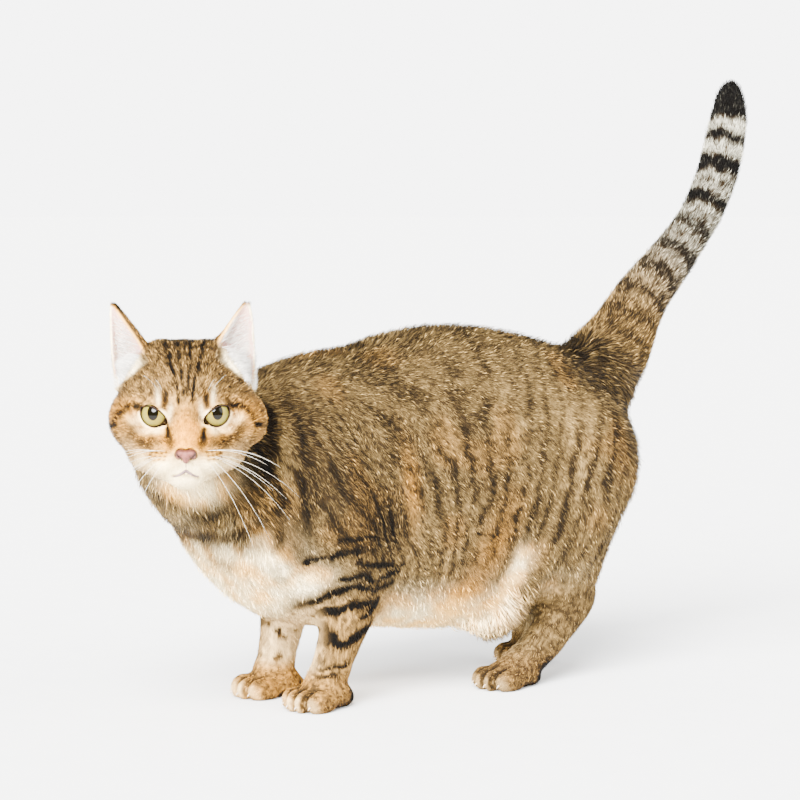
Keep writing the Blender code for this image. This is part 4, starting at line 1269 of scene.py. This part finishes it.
# %% Ear hairs
def ear_hairs():
    """Bent hairs, joined in one piece, thickest at the inner edge of each cup."""
    _, up, _, _ = ear_places(face_head)
    hollow = ear_marks(face_head, face_normals)[3]
    facing = directions(HEAD.inverted(), face_normals)[:, 1]
    foot = on_ear * (hollow < 0.6) * (facing > -0.2) * (past_rim(face_head) > 2) * (up < 0.5)
    inner = on_ear * (hollow > 0.6) * (up < 0.86) * (1.15 - up) + 2.2 * foot
    inner = inner * (1 - rim_corner(face_head)) * (1 - 0.6 * ear_pocket(face_head))
    points, normals = scatter(inner, 5200)
    head = into(HEAD, points)
    count = len(points)
    outward = np.c_[np.sign(head[:, 0]) * 0.95, 0.30 * np.ones(count), 0.45 * np.ones(count)]
    way = directions(HEAD, unit(outward + rng.normal(0, 0.16, (count, 3))))
    way = unit(way - normals * (way * normals).sum(axis=1, keepdims=True) * 0.8)
    away, _, half, _ = ear_places(head)
    lateral = ramp(away[:, 0] / half, 0.1, 0.9)
    length = rng.uniform(6, 12, count) * (1 - 0.6 * ramp(head[:, 2], 30, 60)) * (1 - 0.7 * lateral) * MM
    thick = rng.uniform(0.20, 0.32, count) * MM
    tilt = np.radians(rng.uniform(5, 20, count))
    shape = blades(points, normals, way, length, thick, tilt, tilt * 0.3)
    pale = np.tile(linear("fbf5ea"), (count, 7, 1)) * rng.uniform(0.45, 1, (count, 1, 1))
    patches = flattened(points)[:, None, :] + BENT_PATCH[None]
    dress(link("ear_hairs", coat_mesh("ear_hairs", [(shape, BENT, pale, patches)])), guard_hair)


ear_hairs()

# %% [markdown]
# ## Eyes
# A cat's eye is almost all iris: yellow-green, darker at its rim, round a pupil that narrows to an
# upright oval. The ball is one sphere with a wet, clear coat that gives the catchlight, and its
# pattern is drawn on a map of the ball's own front, so it turns with the eye.

# %% Eye material
PUPIL_HALF = (0.33, 0.47)       # of the ball's radius
GAZE = (0.03, 0.13)             # middle of the pupil, in the same measure
wet_eye, tree, shader = new_material(
    "wet eyeball", Roughness=0.6, Specular_IOR_Level=0.0, Coat_Weight=1.0, Coat_Roughness=0.015,
    Coat_IOR=1.3,
)
front = add(tree, "UVMap", {"uv_map": "front"})
parts = add(tree, "SeparateXYZ", {}, Vector=front.outputs["UV"])
shifted = add(tree, "VectorMath", {"operation": "SUBTRACT"}, i0=front.outputs["UV"], i1=(0.03, 0.04, 0))
reach = add(tree, "VectorMath", {"operation": "LENGTH"}, i0=shifted.outputs["Vector"])
turn = add(tree, "Math", {"operation": "ARCTAN2"}, i0=parts.outputs["Y"], i1=parts.outputs["X"])
spokes_at = add(tree, "CombineXYZ", {}, X=turn.outputs[0], Y=reach.outputs["Value"])
spokes = add(tree, "TexNoise", {}, Vector=spokes_at.outputs[0], Scale=9.0, Detail=4.0)
iris = add(tree, "ValToRGB", {}, Fac=reach.outputs["Value"])
stops = iris.color_ramp.elements
stops[0].color = (*linear("725f1e"), 1)
stops[-1].color = (*linear("120d08"), 1)
for place, colour in ((0.34, "6b5c1d"), (0.56, "675e22"), (0.67, "554c1b"), (0.72, "120c06")):
    stops.new(place).color = (*linear(colour), 1)
rays = add(tree, "MapRange", {}, Value=spokes.outputs["Fac"], i1=0.3, i2=0.7, i3=0.75, i4=1.08)
rayed = add(
    tree, "VectorMath", {"operation": "SCALE"}, i0=iris.outputs["Color"], Scale=rays.outputs["Result"]
)
lowered = add(tree, "VectorMath", {"operation": "SUBTRACT"}, i0=front.outputs["UV"], i1=(*GAZE, 0))
squeeze = (1 / PUPIL_HALF[0], 1 / PUPIL_HALF[1], 0)
oval = add(tree, "VectorMath", {"operation": "MULTIPLY"}, i0=lowered.outputs["Vector"], i1=squeeze)
from_middle = add(tree, "VectorMath", {"operation": "LENGTH"}, i0=oval.outputs["Vector"])
clear = add(tree, "MapRange", {}, Value=from_middle.outputs["Value"], i1=0.95, i2=1.04, i3=0.01, i4=1.0)
seen = add(
    tree, "VectorMath", {"operation": "SCALE"}, i0=rayed.outputs["Vector"], Scale=clear.outputs["Result"]
)
tree.links.new(seen.outputs["Vector"], shader.inputs["Base Color"])


# %% Eyeballs
def eyeball(name, side):
    """A sphere whose map front gives each point's place across the pupil, in radii."""
    bm = bmesh.new()
    bmesh.ops.create_uvsphere(bm, u_segments=48, v_segments=32, radius=(EYE_RADIUS - 0.1) * MM)
    layer = bm.loops.layers.uv.new("front")
    upright = Matrix.Rotation(math.radians(EYE_TILT), 3, "Z")
    for face in bm.faces:
        for loop in face.loops:
            place = upright @ (loop.vert.co / (EYE_RADIUS * MM))
            loop[layer].uv = (place.x, place.y) if place.z > 0 else (1.5, 1.5)
    bmesh.ops.transform(bm, matrix=EYES[side], verts=bm.verts)
    bmesh.ops.recalc_face_normals(bm, faces=bm.faces)
    return dress(show(name, bm), wet_eye)


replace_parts(eyeball("eyeball_left", -1), "eye_left")
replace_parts(eyeball("eyeball_right", 1), "eye_right")


# %% [markdown]
# The lids end in a bare, dark, wet rim: a thin tube run round the almond opening. It is thickest
# along the upper lid and runs out into the corners.

# %% Tubes through points
def tube(bm, centres, radii, sides=6, closed=False):
    """Adds a tube through points by bridging small circles."""
    loops = []
    count = len(centres)
    for k, (centre, radius) in enumerate(zip(centres, radii)):
        ahead = centres[(k + 1) % count] if closed else centres[min(k + 1, count - 1)]
        behind = centres[k - 1] if closed else centres[max(k - 1, 0)]
        turn = (ahead - behind).to_track_quat("Z", "Y").to_matrix().to_4x4()
        matrix = Matrix.Translation(centre) @ turn
        made = bmesh.ops.create_circle(bm, segments=sides, radius=radius, matrix=matrix)["verts"]
        loops.append(list({edge for vertex in made for edge in vertex.link_edges}))
    for here, there in zip(loops, loops[1:] + (loops[:1] if closed else [])):
        bmesh.ops.bridge_loops(bm, edges=here + there)
    if not closed:
        for end in (loops[0], loops[-1]):
            bmesh.ops.contextual_create(bm, geom=end)


# %% Lid rims
rim_skin, tree, shader = new_material("dark lid rim", Roughness=0.55, Specular_IOR_Level=0.1)
mottled(tree, shader, 600.0, "0d0805", "2b1c10")


def lid_rim(name, side):
    centres, radii = [], []
    for turn in np.linspace(0, 2 * math.pi, 80, endpoint=False):
        reach = float(lid_reach(turn))
        x, y = reach * math.cos(turn) + LID_MIDDLE[0], reach * math.sin(turn) + LID_MIDDLE[1]
        z = math.sqrt(LID_EDGE**2 - x * x - y * y)
        centres.append(EYES[side] @ (Vector((x, y, z)) * MM))
        radii.append((0.36 + 0.16 * max(math.sin(turn), 0)) * MM)
    bm = bmesh.new()
    tube(bm, centres, radii, closed=True)
    bmesh.ops.recalc_face_normals(bm, faces=bm.faces)
    dress(show(name, bm), rim_skin)


lid_rim("lid_rim_left", -1)
lid_rim("lid_rim_right", 1)

# %% [markdown]
# ## Nose leather and lips
# Bare, pebbled skin, pink with a darker edge; the nostrils and the groove below them are painted
# shade. The solid's shape is right but coarse, so a copy is remeshed and smoothed. Its colours are
# painted from its own shape, and the pebbles are a fine Voronoi bump of about a third of a millimetre.

# %% Nose
nose_skin, tree, shader = new_material("nose leather", Roughness=0.5, Specular_IOR_Level=0.25)
painted = add(tree, "Attribute", {"attribute_name": "coat"})
tree.links.new(painted.outputs["Color"], shader.inputs["Base Color"])
where = add(tree, "TexCoord")
pebbles = add(tree, "TexVoronoi", {}, Vector=where.outputs["Object"], Scale=2400.0)
relief = add(tree, "Bump", {}, Height=pebbles.outputs["Distance"], Strength=0.3, Distance=0.0003)
tree.links.new(relief.outputs["Normal"], shader.inputs["Normal"])

bm = bmesh.new()
bm.from_mesh(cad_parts["nose"].data)
bmesh.ops.remove_doubles(bm, verts=bm.verts, dist=1e-6)
nose = show("nose_leather", bm)
remesh(nose, 0.3)
soft = nose.modifiers.new("soft", "SMOOTH")
soft.iterations = 14
bake(nose)
set_points(nose.data, mesh_points(nose.data) + mesh_normals(nose.data) * 0.25 * MM)
local = into(HEAD, mesh_points(nose.data))
x, z = np.abs(local[:, 0]), local[:, 2]
edge = np.maximum(ramp(z, -23.4, -21.9), ramp(x + 0.45 * (z + 24.0), 4.6, 5.8))
nostril = bump(to_line(x, z, ((3.1, -26.6), (4.3, -26.0), (5.3, -24.6))), 0, 0.75)
cleft = bump(x, 0, 0.35) * ramp(-z, 25.5, 27.5)
tone = linear("66382f")[None] * (1 - 0.8 * edge[:, None]) + linear("341a12")[None] * 0.7 * edge[:, None]
# Painted shade: the nostrils, and less so the groove below the nose, are darkened on the closed surface.
tone = tone * (1 - 0.93 * np.maximum(nostril, 0.5 * cleft))[:, None]
paint(nose.data, tone)
dress(nose, nose_skin)
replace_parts(nose, "nose")

# %% [markdown]
# The lips meet in a dark line that drops from the nose and parts to both sides. It is laid on the
# skin by casting rays at it from the front.

# %% Lips
skin_tree = BVHTree.FromObject(skin, bpy.context.evaluated_depsgraph_get())


def on_skin(x, z, sink=0.0):
    """The point of the skin straight behind a place before the face, in metres."""
    start = HEAD @ (Vector((x, 80, z)) * MM)
    way = HEAD.to_3x3() @ Vector((0, -1, 0))
    hit = skin_tree.ray_cast(start, way)[0]
    return hit + way * sink * MM


lip_skin, tree, shader = new_material("dark lip", Roughness=0.5, Specular_IOR_Level=0.4)
mottled(tree, shader, 500.0, "4a3838", "7d6663")
bm = bmesh.new()
for side in (-1, 1):
    places = [on_skin(side * x, z, -0.1) for x, z in LIP_LINE]
    tube(bm, places, [(0.35 + 0.12 * k) * MM for k in range(len(places))])
tube(bm, [on_skin(x, z, 0.1) for x, z in DROP_LINE], [0.3 * MM] * 3)
bmesh.ops.recalc_face_normals(bm, faces=bm.faces)
dress(show("lips", bm), lip_skin)

# %% [markdown]
# ## Claws
# At rest a cat's claws are drawn in and only their tips show before the toes: short, pale, hooked
# cones, grown out of the skin where a ray along the toe meets it.

# %% Claws
horn, tree, shader = new_material("claw horn", Roughness=0.35, Specular_IOR_Level=0.4)
mottled(tree, shader, 900.0, "8d7560", "c9b59c")
CLAW_HEIGHT = 4.6
CLAW_HOOK = ((-1.2, 0.5, 0.75), (0.3, 0.3, 0.6), (1.3, -0.5, 0.4), (1.9, -1.6, 0.1))    # ahead, up, radius
bm = bmesh.new()
for (x, y), heading in PAWS:
    turn = math.radians(180 + heading)
    ahead, across = Vector((math.cos(turn), math.sin(turn), 0)), Vector((-math.sin(turn), math.cos(turn), 0))
    for toe in (-1.5, -0.5, 0.5, 1.5):
        start = BODY @ ((Vector((x, y, CLAW_HEIGHT)) + ahead * 70 + across * toe * TOE_PITCH) * MM)
        hit = skin_tree.ray_cast(start, -ahead)[0]
        places = [hit + (ahead * out + Vector((0, 0, up))) * MM for out, up, _ in CLAW_HOOK]
        tube(bm, places, [radius * MM for _, _, radius in CLAW_HOOK], sides=8)
bmesh.ops.recalc_face_normals(bm, faces=bm.faces)
dress(show("claws", bm), horn)

# %% [markdown]
# ## Whiskers
# Stiff white hairs in rows on the pads and a few over each eye. Each is a tapering tube along a
# drooping arc, joined in one piece per side.

# %% Whiskers
white_hair, tree, shader = new_material("white whisker", Roughness=0.35, Specular_IOR_Level=0.5)
mottled(tree, shader, 150.0, "dccfb4", "f6efe0")


def whisker(bm, root, way, droop, length, thick=0.055):
    """Adds a thin tapering tube from a root on the skin. Way and droop are in the head's frame."""
    way, droop = Vector(way).normalized(), Vector(droop)
    shares = [k / 9 for k in range(10)]
    turn = HEAD.to_3x3()
    places = [root + turn @ (way * share + droop * share * share) * length * MM for share in shares]
    tube(bm, places, [(thick * (1 - share) ** 0.7 + 0.025) * MM for share in shares], sides=4)


WHISKER_ROWS, WHISKER_COLUMNS = 3, 3
for name, side, far in (("whiskers_left", -1, 1.15), ("whiskers_right", 1, 0.85)):
    bm = bmesh.new()
    for row, column in itertools.product(range(WHISKER_ROWS), range(WHISKER_COLUMNS)):
        root = on_skin(side * (12 + 4 * column + 0.7 * row), -22.5 - 3.2 * row, 0.5)
        fall = 0.35 * (2 - column) if row > 1 else 0
        way = (side, 0.05 - 0.2 * column, 0.10 - 0.3 * row - fall + rng.normal(0, 0.04))
        length = far * (36 + 3 * row + 4 * column + rng.normal(0, 3))
        whisker(bm, root, way, (-0.05 * side, -0.22, -0.34), length)
    for k in range(2):
        root = on_skin(side * (14 + 3 * k), 13 + 1.5 * k, 0.4)
        whisker(bm, root, (side * (0.2 + 0.3 * k), 0.5, 1), (0.2 * side, -0.3, -0.15), 11 + 3 * k, 0.01)
    bmesh.ops.recalc_face_normals(bm, faces=bm.faces)
    dress(show(name, bm), white_hair)

# %% [markdown]
# ## Floor, light and camera
# A pale studio: a wide matt floor and three large soft lights, so far off that the floor is evenly
# bright. The key light stands high beside the camera and gives the catchlights. A strong one, low
# before the cat's face, opens the shadows under the chin and on the chest, and a weak one fills from
# the other side. The backdrop shines as bright as the floor, so no line parts them, and in the wet
# eyes the room is dark. The camera stands low before the cat's left shoulder, two metres off, as in
# the photograph.

# %% Studio
bm = bmesh.new()
bmesh.ops.create_circle(bm, cap_ends=True, segments=96, radius=60)
floor = show("studio_floor", bm)
paper, tree, shader = new_material("matt studio paper", Roughness=0.9, Specular_IOR_Level=0.0)
mottled(tree, shader, 30.0, "e2e2e1", "e4e4e3")
floor.data.materials.append(paper)

AROUND, BACKDROP = 2.5, 6.5     # brightness of the room, and of the backdrop as the camera sees it
world = bpy.data.worlds.new("studio")
bpy.context.scene.world = world
world.use_nodes = True
tree = world.node_tree
path = add(tree, "LightPath")
seen = add(tree, "MapRange", {}, Value=path.outputs["Is Camera Ray"], i3=AROUND, i4=BACKDROP)
mirrored = add(tree, "MapRange", {}, Value=path.outputs["Is Glossy Ray"], i3=1.0, i4=0.25)
strength = add(
    tree, "Math", {"operation": "MULTIPLY"}, i0=seen.outputs["Result"], i1=mirrored.outputs["Result"]
)
background = tree.nodes["Background"]
background.inputs["Color"].default_value = (*linear("ffffff"), 1)
tree.links.new(strength.outputs[0], background.inputs["Strength"])


def soft_light(name, azimuth, elevation, width, strength):
    """A far, round, soft light. Angles are in degrees, azimuth from -Y towards +X."""
    data = bpy.data.lights.new(name, "SUN")
    data.angle = math.radians(width)
    data.energy = strength
    light = bpy.data.objects.new(name, data)
    turn, rise = math.radians(azimuth), math.radians(elevation)
    away = Vector((math.sin(turn) * math.cos(rise), -math.cos(turn) * math.cos(rise), math.sin(rise)))
    light.location = away * 3
    light.rotation_mode = "QUATERNION"
    light.rotation_quaternion = away.to_track_quat("Z", "Y")
    bpy.context.scene.collection.objects.link(light)
    return light


soft_light("key_light", -45, 38, 28, 18.5)
soft_light("fill_light", 30, 30, 40, 2.4)
soft_light("front_light", -66, 10, 40, 37.0).visible_glossy = False

# %% Camera
AZIMUTH, ELEVATION, DISTANCE = -36.0, 4.0, 2.0
TARGET = (Vector((0, 20, 200)) - MIDDLE) * MM
PIXEL = 0.70                # mm at the target, in a picture 800 pixels wide
azimuth, elevation = math.radians(AZIMUTH), math.radians(ELEVATION)
back = Vector((
    math.sin(azimuth) * math.cos(elevation), -math.cos(azimuth) * math.cos(elevation), math.sin(elevation),
))
data = bpy.data.cameras.new("camera")
data.sensor_width = 36
data.lens = 36 * DISTANCE / (PIXEL * MM) / 800
data.clip_start, data.clip_end = 0.05, 100
camera = bpy.data.objects.new("camera", data)
camera.location = TARGET + back * DISTANCE
camera.rotation_mode = "QUATERNION"
camera.rotation_quaternion = (-back).to_track_quat("-Z", "Y")
bpy.context.scene.collection.objects.link(camera)
bpy.context.scene.camera = camera
